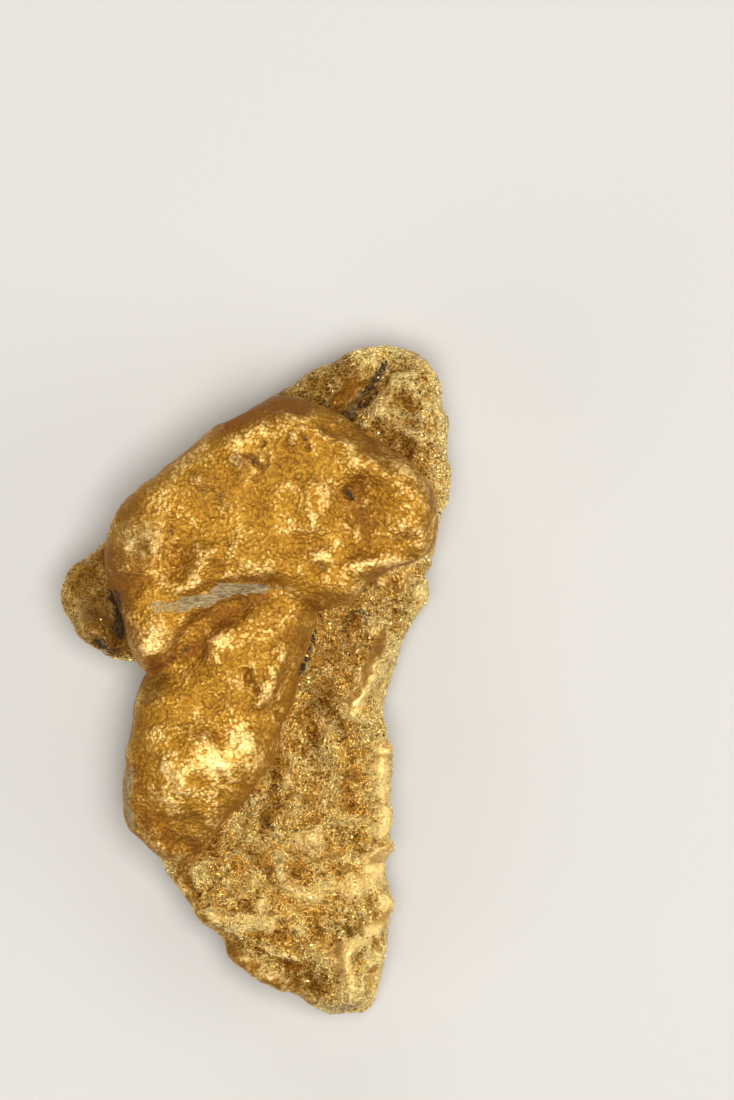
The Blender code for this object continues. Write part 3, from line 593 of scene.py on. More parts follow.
def unevenness(places, length, shift=(0.0, 0.0, 0.0)):
    """A smooth value of about -1 to 1 at each point, which varies over `length`."""
    shift = Vector(shift)
    return np.array([noise.noise(Vector(place) / length + shift) for place in places])


def strayed(places, stray):
    """The (x, y) of each point, moved a little so that drawn paths come out uneven."""
    flat = places[:, :2].copy()
    for length, share in STRAY_LENGTHS:
        moves = [unevenness(places, length, shift) for shift in STRAY_SHIFTS]
        flat += stray * share * np.stack(moves, axis=1)
    return flat


def swell(distance, half_width):
    return (1 - np.clip(distance / half_width, 0, 1) ** 2) ** 2


def crease(distance, half_width):
    return (1 - np.clip(distance / half_width, 0, 1)) ** CREASE_SHARPNESS


def raise_forms(mesh, mass, stray):
    """Pushes a mass's surface out or in along its normals, for its lumps and its forms."""
    places = vertex_values(mesh)
    normals = vertex_normals(mesh)
    height, length = mass.lumps
    below = np.clip((mass.rim - places[:, 2]) / FLANK_DEPTH, 0, 1)
    push = height * unevenness(places, length)
    push *= SIDE_LUMPS + (1 - SIDE_LUMPS) * np.abs(normals[:, 2])
    push += FLANK_SWELL * below * unevenness(places, FLANK_LENGTH)
    flat = strayed(places, stray)
    uneven = 1 + FORM_UNEVENNESS * unevenness(places, FORM_LENGTH)
    for forms, profile, facing in (
        (SWELLS, swell, 1), (CREASES, crease, 1), (UNDERSIDES, swell, -1)
    ):
        towards = np.clip(FORM_FACING * facing * normals[:, 2], 0, 1) * uneven
        for rise, half_width, path in forms.get(mass.name, ()):
            distance, _ = nearest_on_path(flat, path)
            push += towards * rise * profile(distance, half_width)
    place_vertices(mesh, places + normals * push[:, None])


def shaped_mass(mass, spacing, stray):
    mesh = with_modifiers(ringed_mesh(mass), lambda mods: voxel_remesh(mods, spacing))
    raise_forms(mesh, mass, stray)
    return mesh


def grown_together(meshes, spacing):
    bm = bmesh.new()
    for mesh in meshes:
        bm.from_mesh(mesh)
    joined = mesh_from(bm, "masses")
    return with_modifiers(joined, lambda mods: voxel_remesh(mods, spacing, 1))


# ------------------------------------------------------------------ masks on the surface

BLUR_PASSES = 3
SOFTENING_PASSES = 160
FINE_HOLLOWS = (36, 0.09)    # smoothing passes that level small hollows, and their depth
BROAD_HOLLOWS = (220, 0.35)
BROAD_STAINING = (4.0, (4.4, 1.2, 8.8))    # length and shift of uneven staining
FINE_STAINING = (1.1, (9.1, 2.2, 6.3))
FOOT_TOP = 7.0        # height up to which the nugget's foot turns deeper in colour, with more dark patches and mineral
PATCH_FACING = (0.15, 1.6)   # share of a patch on an upright side, and its rise where it turns up


def neighbour_mean(mesh, values, passes):
    ends = np.empty(len(mesh.edges) * 2, np.int32)
    mesh.edges.foreach_get("vertices", ends)
    ends = ends.reshape(-1, 2)
    count = len(mesh.vertices)
    shares = np.bincount(ends.ravel(), minlength=count)
    for _ in range(passes):
        near = np.bincount(ends[:, 0], values[ends[:, 1]], count)
        near += np.bincount(ends[:, 1], values[ends[:, 0]], count)
        values = (values + near / shares) / 2
    return values


def roughness_zone(mesh, shaped):
    """1 on the granular masses and 0 on the smooth ones, from the mass nearest each vertex."""
    places = [Vector(place) for place in vertex_values(mesh)]
    nearest = np.full(len(places), np.inf)
    zone = np.zeros(len(places))
    for mass, own_mesh in zip(MASSES, shaped):
        bm = bmesh.new()
        bm.from_mesh(own_mesh)
        tree = BVHTree.FromBMesh(bm)
        bm.free()
        distance = np.array([tree.find_nearest(place)[3] for place in places])
        closer = distance < nearest
        nearest[closer] = distance[closer]
        zone[closer] = mass.rough
    return neighbour_mean(mesh, zone, BLUR_PASSES)


def store_mask(mesh, name, values):
    attribute = mesh.attributes.get(name) or mesh.attributes.new(name, "FLOAT", "POINT")
    attribute.data.foreach_set("value", np.clip(values, 0, 1).astype(np.float32))


def read_mask(mesh, name):
    values = np.empty(len(mesh.vertices), np.float32)
    mesh.attributes[name].data.foreach_get("value", values)
    return values.astype(float)


def levelled(mesh, passes):
    """Where the vertices lie once the mesh is smoothed that many times."""

    def level(modifiers):
        modifiers.new("Smooth", "SMOOTH").iterations = passes

    return vertex_values(with_modifiers(mesh, level))


def hollows(mesh, passes, depth):
    """How far each vertex lies below its smoothed surroundings, in depths."""
    rise = levelled(mesh, passes) - vertex_values(mesh)
    return (rise * vertex_normals(mesh)).sum(axis=1) / depth


def patch_mask(mesh, flat, patches):
    """Patches on the front of the mesh, whose strayed (x, y) places are `flat`."""
    normals = vertex_normals(mesh)
    upright, rise = PATCH_FACING
    front = np.clip(upright + rise * normals[:, 2], 0, 1)
    total = np.zeros(len(flat))
    for strength, half_width, path in patches:
        distance, _ = nearest_on_path(flat, path)
        total += front * strength * swell(distance, half_width)
    return total


def soften(mesh, flat):
    places = vertex_values(mesh)
    share = np.clip(patch_mask(mesh, flat, SOFT_PLACES), 0, 1)[:, None]
    place_vertices(mesh, places + share * (levelled(mesh, SOFTENING_PASSES) - places))


def paint_masks(mesh, flat):
    """Stores where the skin is stained, dirty, crusted, specked and rubbed bright, and where
    painted shade deepens it and painted highlight pales it.
    """
    places = vertex_values(mesh)
    rough, polish = read_mask(mesh, "rough"), read_mask(mesh, "polish")
    steep = 1 - np.clip(vertex_normals(mesh)[:, 2], 0, 1)
    hollow = hollows(mesh, *FINE_HOLLOWS)
    basin = np.clip(hollows(mesh, *BROAD_HOLLOWS), -1, 1.5)
    broad = unevenness(places, *BROAD_STAINING)
    fine = unevenness(places, *FINE_STAINING)
    below = np.clip(1 - places[:, 2] / FOOT_TOP, 0, 1)
    stain, dark, mineral, specks = (
        patch_mask(mesh, flat, FINISH_PATCHES[name])
        for name in ("stain", "dark", "mineral", "specks")
    )
    # Deeper colour in small hollows and broad basins: partly iron stain, partly painted shade
    stain += 0.3 * (np.clip(hollow, -1, 2) + basin)
    # Uneven stain all over, deeper colour towards the floor, and painted shade on the steep flanks
    stain += 0.3 * broad + 0.15 * fine + 0.2 * below + 0.35 * steep**2
    # Darker in the deepest hollows, as dirt and as painted shade, and in patches towards the floor
    dark += (0.1 + 0.3 * rough) * np.clip(hollow - 1.3, 0, 2) + 0.2 * below * (fine > 0.25)
    mineral += 0.6 * below * np.clip(broad - 0.35, 0, 1)
    specks += 0.23 + 0.15 * broad
    # Paler on raised places and rubbed patches, less in broad basins: rubbed wear, and painted
    # highlight on the raised places with painted shade in the basins
    worn = (0.5 + 0.3 * rough) * np.clip(-hollow, 0, 2) + 0.5 * polish * (1 + 5 * rough)
    worn += 0.35 * rough - (0.3 + 0.3 * rough) * basin
    rough = rough - 0.6 * rough * np.clip(-hollow - 0.6, 0, 1)
    for name, values in {
        "stain": stain, "dark": dark, "mineral": mineral, "specks": specks, "worn": worn,
        "rough": rough,
    }.items():
        store_mask(mesh, name, values)


# ------------------------------------------------------------------ node tools

FLOAT = "NodeSocketFloat"
COLOUR = "NodeSocketColor"
VECTOR = "NodeSocketVector"
GEOMETRY = "NodeSocketGeometry"
RELIEF_LENGTHS = (
    "wrinkle_depth", "wrinkle_size", "dent_depth", "dent_size",
    "grain_depth", "grain_size", "clot_height", "clot_size",
)
STREAKS = (0.5, 1.6, 1.0)    # how the mineral's fraying is drawn out along X and squeezed along Y


def titled(name):
    return name.title().replace("_", " ")


def feed(sockets, values):
    """Links or sets sockets, each by its name or index, to a wire or a plain value."""
    for key, value in values.items():
        if isinstance(value, Wire):
            value.tree.links.new(value.socket, sockets[key])
        else:
            sockets[key].default_value = value


def add_node(tree, kind, inputs=None, **settings):
    node = tree.nodes.new(kind)
    for name, value in settings.items():
        setattr(node, name, value)
    feed(node.inputs, inputs or {})
    return node


def wire(tree, kind, inputs=None, output=0, **settings):
    return Wire(add_node(tree, kind, inputs, **settings).outputs[output])


def maths(tree, operation, *values):
    return wire(tree, "ShaderNodeMath", dict(enumerate(values)), operation=operation)


class Wire:
    """What a node puts out. A sum written with it, and with numbers, is a further node."""

    def __init__(self, socket):
        self.socket = socket
        self.tree = socket.id_data

    def __add__(self, other):
        return maths(self.tree, "ADD", self, other)

    def __sub__(self, other):
        return maths(self.tree, "SUBTRACT", self, other)

    def __rsub__(self, other):
        return maths(self.tree, "SUBTRACT", other, self)

    def __mul__(self, other):
        return maths(self.tree, "MULTIPLY", self, other)

    def __pow__(self, other):
        return maths(self.tree, "POWER", self, other)

    def __abs__(self):
        return maths(self.tree, "ABSOLUTE", self)

    def over(self, other):
        """1 where this is above the other, and 0 elsewhere."""
        return maths(self.tree, "GREATER_THAN", self, other)

    def or_more(self, other):
        return maths(self.tree, "MAXIMUM", self, other)

    def ranged(self, low, high, to_low=0.0, to_high=1.0):
        limits = {"From Min": low, "From Max": high, "To Min": to_low, "To Max": to_high}
        return wire(self.tree, "ShaderNodeMapRange", {"Value": self, **limits}, "Result")

    def mix(self, first, second):
        """From the first value to the second, by this share."""
        return wire(self.tree, "ShaderNodeMix", {0: self, 2: first, 3: second}, data_type="FLOAT")

    def mix_colours(self, first, second):
        return wire(self.tree, "ShaderNodeMix", {0: self, 6: first, 7: second}, 2, data_type="RGBA")

    def vector(self, operation, other):
        return wire(self.tree, "ShaderNodeVectorMath", {0: self, 1: other}, operation=operation)

    def scaled(self, scale):
        inputs = {0: self, "Scale": scale}
        return wire(self.tree, "ShaderNodeVectorMath", inputs, operation="SCALE")

    def upward(self):
        return wire(self.tree, "ShaderNodeSeparateXYZ", {0: self}, "Z")


def new_group(kind, name, inputs, outputs):
    """An empty node group, what gives its inputs by name, and what links its outputs.

    `inputs` and `outputs` give each socket's type, or its default where it holds a number.
    """
    tree = bpy.data.node_groups.new(name, kind)
    for in_out, sockets in (("INPUT", inputs), ("OUTPUT", outputs)):
        for key, given in sockets.items():
            socket_type = FLOAT if isinstance(given, float) else given
            socket = tree.interface.new_socket(key, in_out=in_out, socket_type=socket_type)
            if isinstance(given, float):
                socket.default_value = given
    entry, result = tree.nodes.new("NodeGroupInput"), tree.nodes.new("NodeGroupOutput")

    def with_outputs(**values):
        feed(result.inputs, values)
        return tree

    return tree, lambda key: Wire(entry.outputs[key]), with_outputs


def set_inputs(modifier, values):
    """Sets a Geometry Nodes modifier's inputs by name, through each socket's identifier."""
    for item in modifier.node_group.interface.items_tree:
        if item.in_out == "INPUT" and item.name in values:
            modifier[item.identifier] = values[item.name]


def place_noise(places, size, output=0, detail=2.0, roughness=0.5):
    inputs = {
        "Vector": places, "Scale": maths(places.tree, "DIVIDE", 1.0, size),
        "Detail": detail, "Roughness": roughness,
    }
    return wire(places.tree, "ShaderNodeTexNoise", inputs, output)


def centred_noise(places, size, detail=2.0, roughness=0.5):
    return place_noise(places, size, detail=detail, roughness=roughness) - 0.5


def warped_places(places, size, share):
    """Places moved about by up to half a share of `size`, so that a pattern on them flows."""
    warp = place_noise(places, size * 2.5, "Color").vector("SUBTRACT", (0.5, 0.5, 0.5))
    return places.vector("ADD", warp.scaled(size * share))


def cell_distance(places, size):
    """Distance from the middle of the nearest of many uneven cells, 0 to about 1."""
    inputs = {"Vector": places, "Scale": maths(places.tree, "DIVIDE", 1.0, size)}
    return wire(places.tree, "ShaderNodeTexVoronoi", inputs, "Distance", feature="F1")


# ------------------------------------------------------------------ Geometry Nodes

SCATTERED = (0.35, 0.9)      # values of a mask between which grains thicken from none to all
GRAIN_DENT = 0.14            # how far a grain's corners stray, for a width of 1
GRAIN_SIZES = ((0.55, 0.55, 0.45), (1.5, 1.2, 0.95))    # least and most, for a mean of 1
FULL_TURN = 6.283
TONE_SEED = 3


def fine_relief_tree():
    """Dents and wrinkles on the smooth gold, clots and grains on the granular gold."""
    tree, given, with_outputs = new_group(
        "GeometryNodeTree", "fine relief",
        {"Geometry": GEOMETRY, **{titled(name): 1.0 for name in RELIEF_LENGTHS}},
        {"Geometry": GEOMETRY},
    )
    tree.is_modifier = True
    places = wire(tree, "GeometryNodeInputPosition")
    normal = wire(tree, "GeometryNodeInputNormal")
    rough = wire(tree, "GeometryNodeInputNamedAttribute", {"Name": "rough"})
    warped = warped_places(places, given("Wrinkle Size"), 1.5)
    calm = centred_noise(places, given("Dent Size") * 1.7).ranged(-0.05, 0.15)
    wrinkles = abs(centred_noise(warped, given("Wrinkle Size"))).ranged(0.0, 0.1, -1.0, 0.0)
    wrinkles = wrinkles * (calm * given("Wrinkle Depth"))
    dents = centred_noise(places, given("Dent Size")) * (given("Dent Depth") * 4.0)
    grains = cell_distance(warped, given("Grain Size"))
    pits = centred_noise(places, given("Grain Size")).ranged(-0.25, 0.0, -1.4, 0.0)
    grains = (pits - grains) * given("Grain Depth")
    clots = centred_noise(places, given("Clot Size"), detail=5.0, roughness=0.58)
    clots = clots * (given("Clot Height") * 4.0)
    clots = clots * abs(normal.upward()).ranged(0.0, 0.8, 0.25, 1.0)
    height = rough.mix(wrinkles + dents, grains + clots)
    moved = {"Geometry": given("Geometry"), "Offset": normal.scaled(height)}
    return with_outputs(Geometry=wire(tree, "GeometryNodeSetPosition", moved))


def scatter_tree():
    """Small faceted grains sunk into a surface, thickest where a mask is high."""
    tree, given, with_outputs = new_group(
        "GeometryNodeTree", "scattered grains",
        {"Geometry": GEOMETRY, "Size": 1.0 * MM, "Density": 1.0, "Sink": 0.2, "Lowest": 0.0,
         "Seed": "NodeSocketInt", "Mask": "NodeSocketString", "Material": "NodeSocketMaterial"},
        {"Geometry": GEOMETRY},
    )
    tree.is_modifier = True

    def random_vector(low, high, **seed):
        inputs = {0: low, 1: high, **seed}
        return wire(tree, "FunctionNodeRandomValue", inputs, data_type="FLOAT_VECTOR")

    mask = wire(tree, "GeometryNodeInputNamedAttribute", {"Name": given("Mask")})
    height = wire(tree, "GeometryNodeInputPosition").upward()
    share = mask.ranged(*SCATTERED) * height.over(given("Lowest"))
    points = add_node(
        tree, "GeometryNodeDistributePointsOnFaces",
        {"Mesh": given("Geometry"), "Density": share * given("Density"), "Seed": given("Seed")},
    )
    down = Wire(points.outputs["Normal"]).scaled(given("Size") * given("Sink") * -1.0)
    settled = {"Geometry": Wire(points.outputs[0]), "Offset": down}
    ball = wire(tree, "GeometryNodeMeshIcoSphere", {"Radius": 0.5, "Subdivisions": 1})
    grain = {"Geometry": ball, "Offset": random_vector((-GRAIN_DENT,) * 3, (GRAIN_DENT,) * 3)}
    spread = random_vector(*GRAIN_SIZES, Seed=given("Seed"))
    turn = random_vector((0.0,) * 3, (FULL_TURN,) * 3)
    placed = wire(tree, "GeometryNodeInstanceOnPoints", {
        "Points": wire(tree, "GeometryNodeSetPosition", settled),
        "Instance": wire(tree, "GeometryNodeSetPosition", grain),
        "Rotation": wire(tree, "FunctionNodeEulerToRotation", {0: turn}),
        "Scale": spread.scaled(given("Size")),
    })
    luck = wire(tree, "FunctionNodeRandomValue", {"Seed": TONE_SEED}, 1, data_type="FLOAT")
    toned = wire(
        tree, "GeometryNodeStoreNamedAttribute",
        {"Geometry": placed, "Name": "tone", "Value": luck}, domain="INSTANCE",
    )
    real = wire(tree, "GeometryNodeRealizeInstances", {0: toned})
    dressed = {"Geometry": real, "Material": given("Material")}
    return with_outputs(Geometry=wire(tree, "GeometryNodeSetMaterial", dressed))


def nodes_result(mesh, tree, values):
    """The mesh as a Geometry Nodes modifier with these input values leaves it."""

    def add_tree(modifiers):
        modifier = modifiers.new(tree.name, "NODES")
        modifier.node_group = tree
        set_inputs(modifier, values)

    return with_modifiers(mesh, add_tree)


# ------------------------------------------------------------------ shader groups


def gold_tone_group():
    """Colour of native gold: pale where rubbed and, as painted highlight, on raised places; deeper
    in hollows and between raised places, partly stain and partly painted shade; under a broken iron
    stain.
    """
    _, given, with_outputs = new_group(
        "ShaderNodeTree", "gold tone",
        {"Vector": VECTOR, "Gold": COLOUR, "Worn Gold": COLOUR, "Deep Gold": COLOUR,
         "Iron Stain": COLOUR, "Stain": 0.0, "Worn": 0.0, "Height": 0.0, "Mottling": 1.0},
        {"Color": COLOUR, "Film": FLOAT},
    )
    patches = centred_noise(given("Vector"), 2.2 * MM, detail=5.0, roughness=0.6)
    # Random mottling, and the fine relief painted in: paler on its tops as painted highlight,
    # deeper in its gaps as painted shade
    uneven = patches * given("Mottling") - given("Height") * 0.9
    # Stain and painted shade together set how deep the gold turns
    stain_and_shade = given("Stain") + uneven
    deep = stain_and_shade.ranged(-0.1, 0.95)
    worn = given("Worn") + uneven * -1.0
    colour = worn.ranged(0.15, 0.8).mix_colours(given("Gold"), given("Worn Gold"))
    colour = deep.mix_colours(colour, given("Deep Gold"))
    # Where stain and painted shade run strongest, the colour turns to iron stain
    colour = stain_and_shade.ranged(0.9, 1.4, 0.0, 0.7).mix_colours(colour, given("Iron Stain"))
    return with_outputs(Color=colour, Film=deep)


def crust_group():
    """A broken crust: where a mask, frayed by noise, passes one half."""
    _, given, with_outputs = new_group(
        "ShaderNodeTree", "broken crust",
        {"Vector": VECTOR, "Mask": 0.0, "Fray Size": 0.3 * MM}, {"Crust": FLOAT, "Mottle": FLOAT},
    )
    fray = place_noise(given("Vector"), given("Fray Size"), detail=4.0)
    spread = given("Mask") + (fray - 0.5) * 1.3
    return with_outputs(Crust=spread.ranged(0.38, 0.62), Mottle=fray)


def fine_grain_group():
    """The finest relief: the satin of beaten gold, and the broken grain of rough gold."""
    _, given, with_outputs = new_group(
        "ShaderNodeTree", "fine grain",
        {"Vector": VECTOR, "Rough": 0.0, "Satin Size": 0.4 * MM, "Grain Size": 0.2 * MM},
        {"Height": FLOAT, "Shade": FLOAT, "Gap": FLOAT},
    )
    places, rough = given("Vector"), given("Rough")
    pebbles = cell_distance(places, given("Satin Size") * 0.9) ** 2.0
    satin = centred_noise(places, given("Satin Size"), detail=3.0, roughness=0.72) * 1.1
    satin = satin + pebbles.ranged(0.0, 0.6, 0.15, -0.24)
    creases = centred_noise(places, given("Satin Size") * 5.0, detail=4.0)
    satin = satin + abs(creases).ranged(0.0, 0.015, -0.12, 0.0)
    lumps = centred_noise(places, given("Grain Size") * 3.2)
    grains = centred_noise(places, given("Grain Size"), roughness=0.78) + lumps * 0.25
    # Height is for the bump. Shade is the same relief painted into the colour: paler on tops as
    # painted highlight, deeper between them as painted shade. Gap marks the gaps between grains,
    # coloured dark as stain and painted shade
    return with_outputs(
        Height=rough.mix(satin * 1.3, grains * 4.2 + lumps * 2.2),
        Shade=rough.mix(satin * 1.4, grains * 4.2),
        Gap=grains.ranged(-0.02, -0.12) * rough,
    )


def use_group(material, group, inputs):
    """The group in a material. What it returns gives the group's outputs by name."""
    node = add_node(material.node_tree, "ShaderNodeGroup", node_tree=group)
    feed(node.inputs, inputs)
    return lambda key: Wire(node.outputs[key])


def mask_wire(tree, name):
    return wire(tree, "ShaderNodeAttribute", output="Fac", attribute_name=name)


def new_material(name):
    """A material, its node tree, the inputs of its shader, and the places on its object."""
    material = bpy.data.materials.new(name)
    material.use_nodes = True
    tree = material.node_tree
    places = wire(tree, "ShaderNodeTexCoord", output="Object")
    return material, tree, tree.nodes["Principled BSDF"].inputs, places


def gold_material(groups, finish):
    """Hammered and granular gold with its stains, grown-in mineral and dirty pits, and with painted
    shade and painted highlight in its colour.
    """
    material, tree, shader, places = new_material("native gold")
    rough = mask_wire(tree, "rough")
    grain = use_group(material, groups["grain"], {
        "Vector": places, "Rough": rough, "Satin Size": 0.36 * MM, "Grain Size": 0.2 * MM,
    })
    keen = mask_wire(tree, "polish").ranged(0.3, 1.0, 1.0, 0.5)
    tone = use_group(material, groups["tone"], {
        "Vector": places, "Gold": rough.mix_colours(finish.gold, finish.pale_gold),
        "Worn Gold": rough.mix_colours(finish.wear_and_highlight_gold, finish.crest_gold),
        "Deep Gold": rough.mix_colours(finish.deep_gold, finish.gold),
        # The stain mask also carries painted shade, and the wear mask and the fine relief's shade
        # paint highlight on raised places and shade between them
        "Iron Stain": finish.iron_stain_and_shade, "Stain": mask_wire(tree, "stain"),
        "Worn": mask_wire(tree, "worn"), "Height": grain("Shade") * keen,
        "Mottling": rough.mix(2.4, 2.0),
    })

    def crust_on(mask, fray_size, at=places):
        inputs = {"Vector": at, "Mask": mask_wire(tree, mask), "Fray Size": fray_size}
        return use_group(material, groups["crust"], inputs)

    mineral = crust_on("mineral", 0.28 * MM, places.vector("MULTIPLY", STREAKS))
    # The dirt colour over the dark mask: dirt in the pits, and painted shade in the knob's cavity,
    # under the lower lobe's edge and in the deepest hollows
    dirt = crust_on("dark", 0.3 * MM)("Crust")
    specks = crust_on("specks", 0.2 * MM)("Crust") * 0.75
    shadow_stone = [share * 0.3 for share in finish.mineral[:3]] + [1.0]
    stone = mineral("Mottle").ranged(0.35, 0.6).mix_colours(shadow_stone, finish.mineral)
    # Dark gaps between the grains: stain and painted shade, deeper where stain and painted shade
    # are stronger
    gap = grain("Gap") * tone("Film").ranged(0.0, 0.7, 0.3, 0.9)
    crust = mineral("Crust") * 0.85
    colour = gap.mix_colours(tone("Color"), finish.gap)
    colour = specks.mix_colours(colour, finish.specks)
    colour = crust.mix_colours(colour, stone)
    colour = dirt.mix_colours(colour, finish.dirt)
    covered = crust.or_more(dirt).or_more(specks * 0.8).or_more(gap * 0.4) * 0.9
    satin = tone("Film").ranged(0.0, 1.0, 0.54, 0.64) - rough * 0.3
    relief = {"Strength": 1.0, "Distance": 0.13 * MM, "Height": grain("Height") * keen}
    feed(shader, {
        "Base Color": colour, "Metallic": 1.0 - covered, "Roughness": covered.mix(satin, 0.8),
        "Specular IOR Level": 0.2, "Normal": wire(tree, "ShaderNodeBump", relief),
    })


def grain_material(groups, finish):
    """Crystalline gold grains: mostly bright, some pale, some deep or dirty."""
    material, tree, shader, places = new_material("gold grains")
    luck = mask_wire(tree, "tone")
    tone = use_group(material, groups["tone"], {
        "Vector": places, "Gold": finish.pale_gold, "Worn Gold": finish.crest_gold,
        "Deep Gold": finish.deep_gold, "Iron Stain": finish.iron_stain_and_shade,
        # The stain and wear masks bring their painted shade and highlight onto the grains too
        "Stain": mask_wire(tree, "stain"), "Worn": mask_wire(tree, "worn"),
        "Height": luck.ranged(0.0, 1.0, -0.4, 0.5),
    })
    # Grains turn dark where the dark mask is high: dirt, and painted shade in the shaded patches
    dirty = (mask_wire(tree, "dark") * 0.6 - luck).over(-0.1)
    colour = dirty.mix_colours(tone("Color"), finish.gap)
    feed(shader, {
        "Base Color": colour, "Metallic": 1.0 - dirty * 0.8,
        "Roughness": luck.ranged(0.0, 1.0, 0.5, 0.3), "Specular IOR Level": 0.1,
    })


def grit_material(groups, finish):
    """Dull dirt and mineral grains that sit in the pits."""
    material, tree, shader, places = new_material("pit dirt")
    luck = mask_wire(tree, "tone")
    fraying = {"Vector": places, "Mask": luck, "Fray Size": 0.2 * MM}
    rust = use_group(material, groups["crust"], fraying)
    colour = luck.ranged(0.2, 1.0).mix_colours(finish.dirt, finish.mineral)
    colour = (rust("Crust") * 0.4).mix_colours(colour, finish.iron_stain_and_shade)
    feed(shader, {"Base Color": colour, "Roughness": 0.75, "Specular IOR Level": 0.2})


def material_named(name):
    """The material of that name, made with its shared groups the first time."""
    if name not in bpy.data.materials:
        finish = bpy.context.scene.nugget_finish
        groups = {"tone": gold_tone_group(), "crust": crust_group(), "grain": fine_grain_group()}
        gold_material(groups, finish)
        grain_material(groups, finish)
        grit_material(groups, finish)
    return bpy.data.materials[name]


# ------------------------------------------------------------------ operators

SINK = 0.25                  # how far grains are sunk, in grains
LOWEST_GRAINS = 0.35 * MM    # height where the grains begin above the floor
LOWEST_GRIT = 0.3 * MM
GRIT_SEED = 11               # added to the seed for the dirt
POLISH_SMOOTHING = 0.75      # how much roughness a polished place loses


def add_piece(name, mesh, material):
    """A finished piece of the nugget: at the origin, on the one body, in place of its solid."""
    mesh.name = name
    mesh.materials.clear()
    mesh.materials.append(material_named(material))
    mesh.polygons.foreach_set("material_index", np.zeros(len(mesh.polygons), np.int32))
    piece = bpy.data.objects.new(name, mesh)
    bpy.context.scene.collection.objects.link(piece)
    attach(piece, BODY)
    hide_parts(NODE)


def one_side(mesh, level, side):
    """The part of the mesh above (side 1) or below (side -1) a level, closed where it is cut."""
    bm = bmesh.new()
    bm.from_mesh(mesh)
    bmesh.ops.bisect_plane(
        bm, geom=bm.verts[:] + bm.edges[:] + bm.faces[:], plane_co=(0, 0, level),
        plane_no=(0, 0, side), clear_inner=True,
    )
    cut = [edge for edge in bm.edges if edge.is_boundary]
    caps = bmesh.ops.holes_fill(bm, edges=cut)["faces"]
    bmesh.ops.triangulate(bm, faces=caps)
    return mesh_from(bm, mesh.name)


def thinned(mesh, most_triangles):
    triangles = sum(len(polygon.vertices) - 2 for polygon in mesh.polygons)

    def thin(modifiers):
        modifiers.new("Decimate", "DECIMATE").ratio = most_triangles / triangles

    return with_modifiers(mesh, thin) if triangles > most_triangles else mesh


def set_on_floor(mesh, scale):
    """Scales the mesh, and brings up to the floor whatever would lie below it."""
    places = vertex_values(mesh) * scale
    places[:, 2] = np.maximum(places[:, 2], 0.0)
    place_vertices(mesh, places)


class NUGGET_OT_surface(bpy.types.Operator):
    """Shape the nugget's whole surface, mask it and give it its gold"""

    bl_idname = "nugget.surface"
    bl_label = "Nugget surface"

    def execute(self, context):
        form = context.scene.nugget_form
        stray = form.stray / MM
        shaped = [shaped_mass(mass, form.spacing / MM, stray) for mass in MASSES]
        skin = grown_together(shaped, form.skin_spacing / MM)
        flat = strayed(vertex_values(skin), stray)
        soften(skin, flat)
        polish = patch_mask(skin, flat, FINISH_PATCHES["polish"])
        grown = patch_mask(skin, flat, FINISH_PATCHES["rough"])
        store_mask(skin, "polish", polish)
        store_mask(skin, "rough", roughness_zone(skin, shaped) + grown - POLISH_SMOOTHING * polish)
        skin = nodes_result(skin, fine_relief_tree(), {
            titled(name): getattr(form, name) / MM for name in RELIEF_LENGTHS
        })
        paint_masks(skin, flat)
        for piece_name, side, most_triangles in SIDES:
            mesh = thinned(one_side(skin, SEAM_LEVEL, side), most_triangles)
            set_on_floor(mesh, MM)
            mesh.shade_smooth()
            add_piece(piece_name, mesh, "native gold")
        return {"FINISHED"}


def scatter(surface_name, piece_name, material, values):
    """A piece of grains strewn over the surface piece of that name."""
    surface = bpy.data.objects.get(surface_name)
    if surface is None:
        raise RuntimeError(f"{piece_name} needs {surface_name}: shape the surface first")
    tree = bpy.data.node_groups.get("scattered grains") or scatter_tree()
    values = {**values, "Material": material_named(material)}
    mesh = nodes_result(surface.data, tree, values)
    if not mesh.polygons:
        raise RuntimeError(f"{piece_name} came out with no grains")
    set_on_floor(mesh, 1)
    mesh.shade_flat()
    add_piece(piece_name, mesh, material)


class NUGGET_OT_gold_grains(bpy.types.Operator):
    """Scatter crystalline gold grains over the granular gold"""

    bl_idname = "nugget.gold_grains"
    bl_label = "Gold grains"

    def execute(self, context):
        grains = context.scene.nugget_grains
        for number, (surface_name, _, _) in enumerate(SIDES):
            scatter(surface_name, surface_name.replace("nugget", "gold_grains"), "gold grains", {
                "Size": grains.size, "Density": grains.per_square_mm / MM**2, "Sink": SINK,
                "Lowest": LOWEST_GRAINS, "Mask": "rough", "Seed": grains.seed + number,
            })
        return {"FINISHED"}


class NUGGET_OT_pit_dirt(bpy.types.Operator):
    """Settle dirt and mineral grains in the pits and clefts, and on the dark patches that paint
    shade
    """

    bl_idname = "nugget.pit_dirt"
    bl_label = "Dirt in the pits"

    def execute(self, context):
        grains = context.scene.nugget_grains
        scatter("nugget_front", "pit_dirt", "pit dirt", {
            "Size": grains.grit_size, "Density": grains.grit_per_square_mm / MM**2,
            "Sink": SINK, "Lowest": LOWEST_GRIT, "Mask": "dark", "Seed": grains.seed + GRIT_SEED,
        })
        return {"FINISHED"}


FLOOR_SIZE = 3.0
CAMERA_SPOT = (9.29 * MM, 10.92 * MM)   # where the lens's axis meets the nugget
CAMERA_RISE = 0.5                       # above the level of the nugget's middle
CAMERA_LEVEL = 8.0 * MM
SENSOR = 36.0
FRAME_HEIGHT = 92.07 * MM               # height of what the camera sees at that level
SOFTBOXES = (                           # side, place and size
    ("front", (0.04, -0.03, 0.62), (0.32, 0.24)), ("right", (0.45, -0.05, 0.2), (0.36, 0.4)),
    ("left", (-0.38, -0.25, 0.2), (0.36, 0.4)), ("far", (-0.08, 0.45, 0.24), (0.36, 0.3)),
)


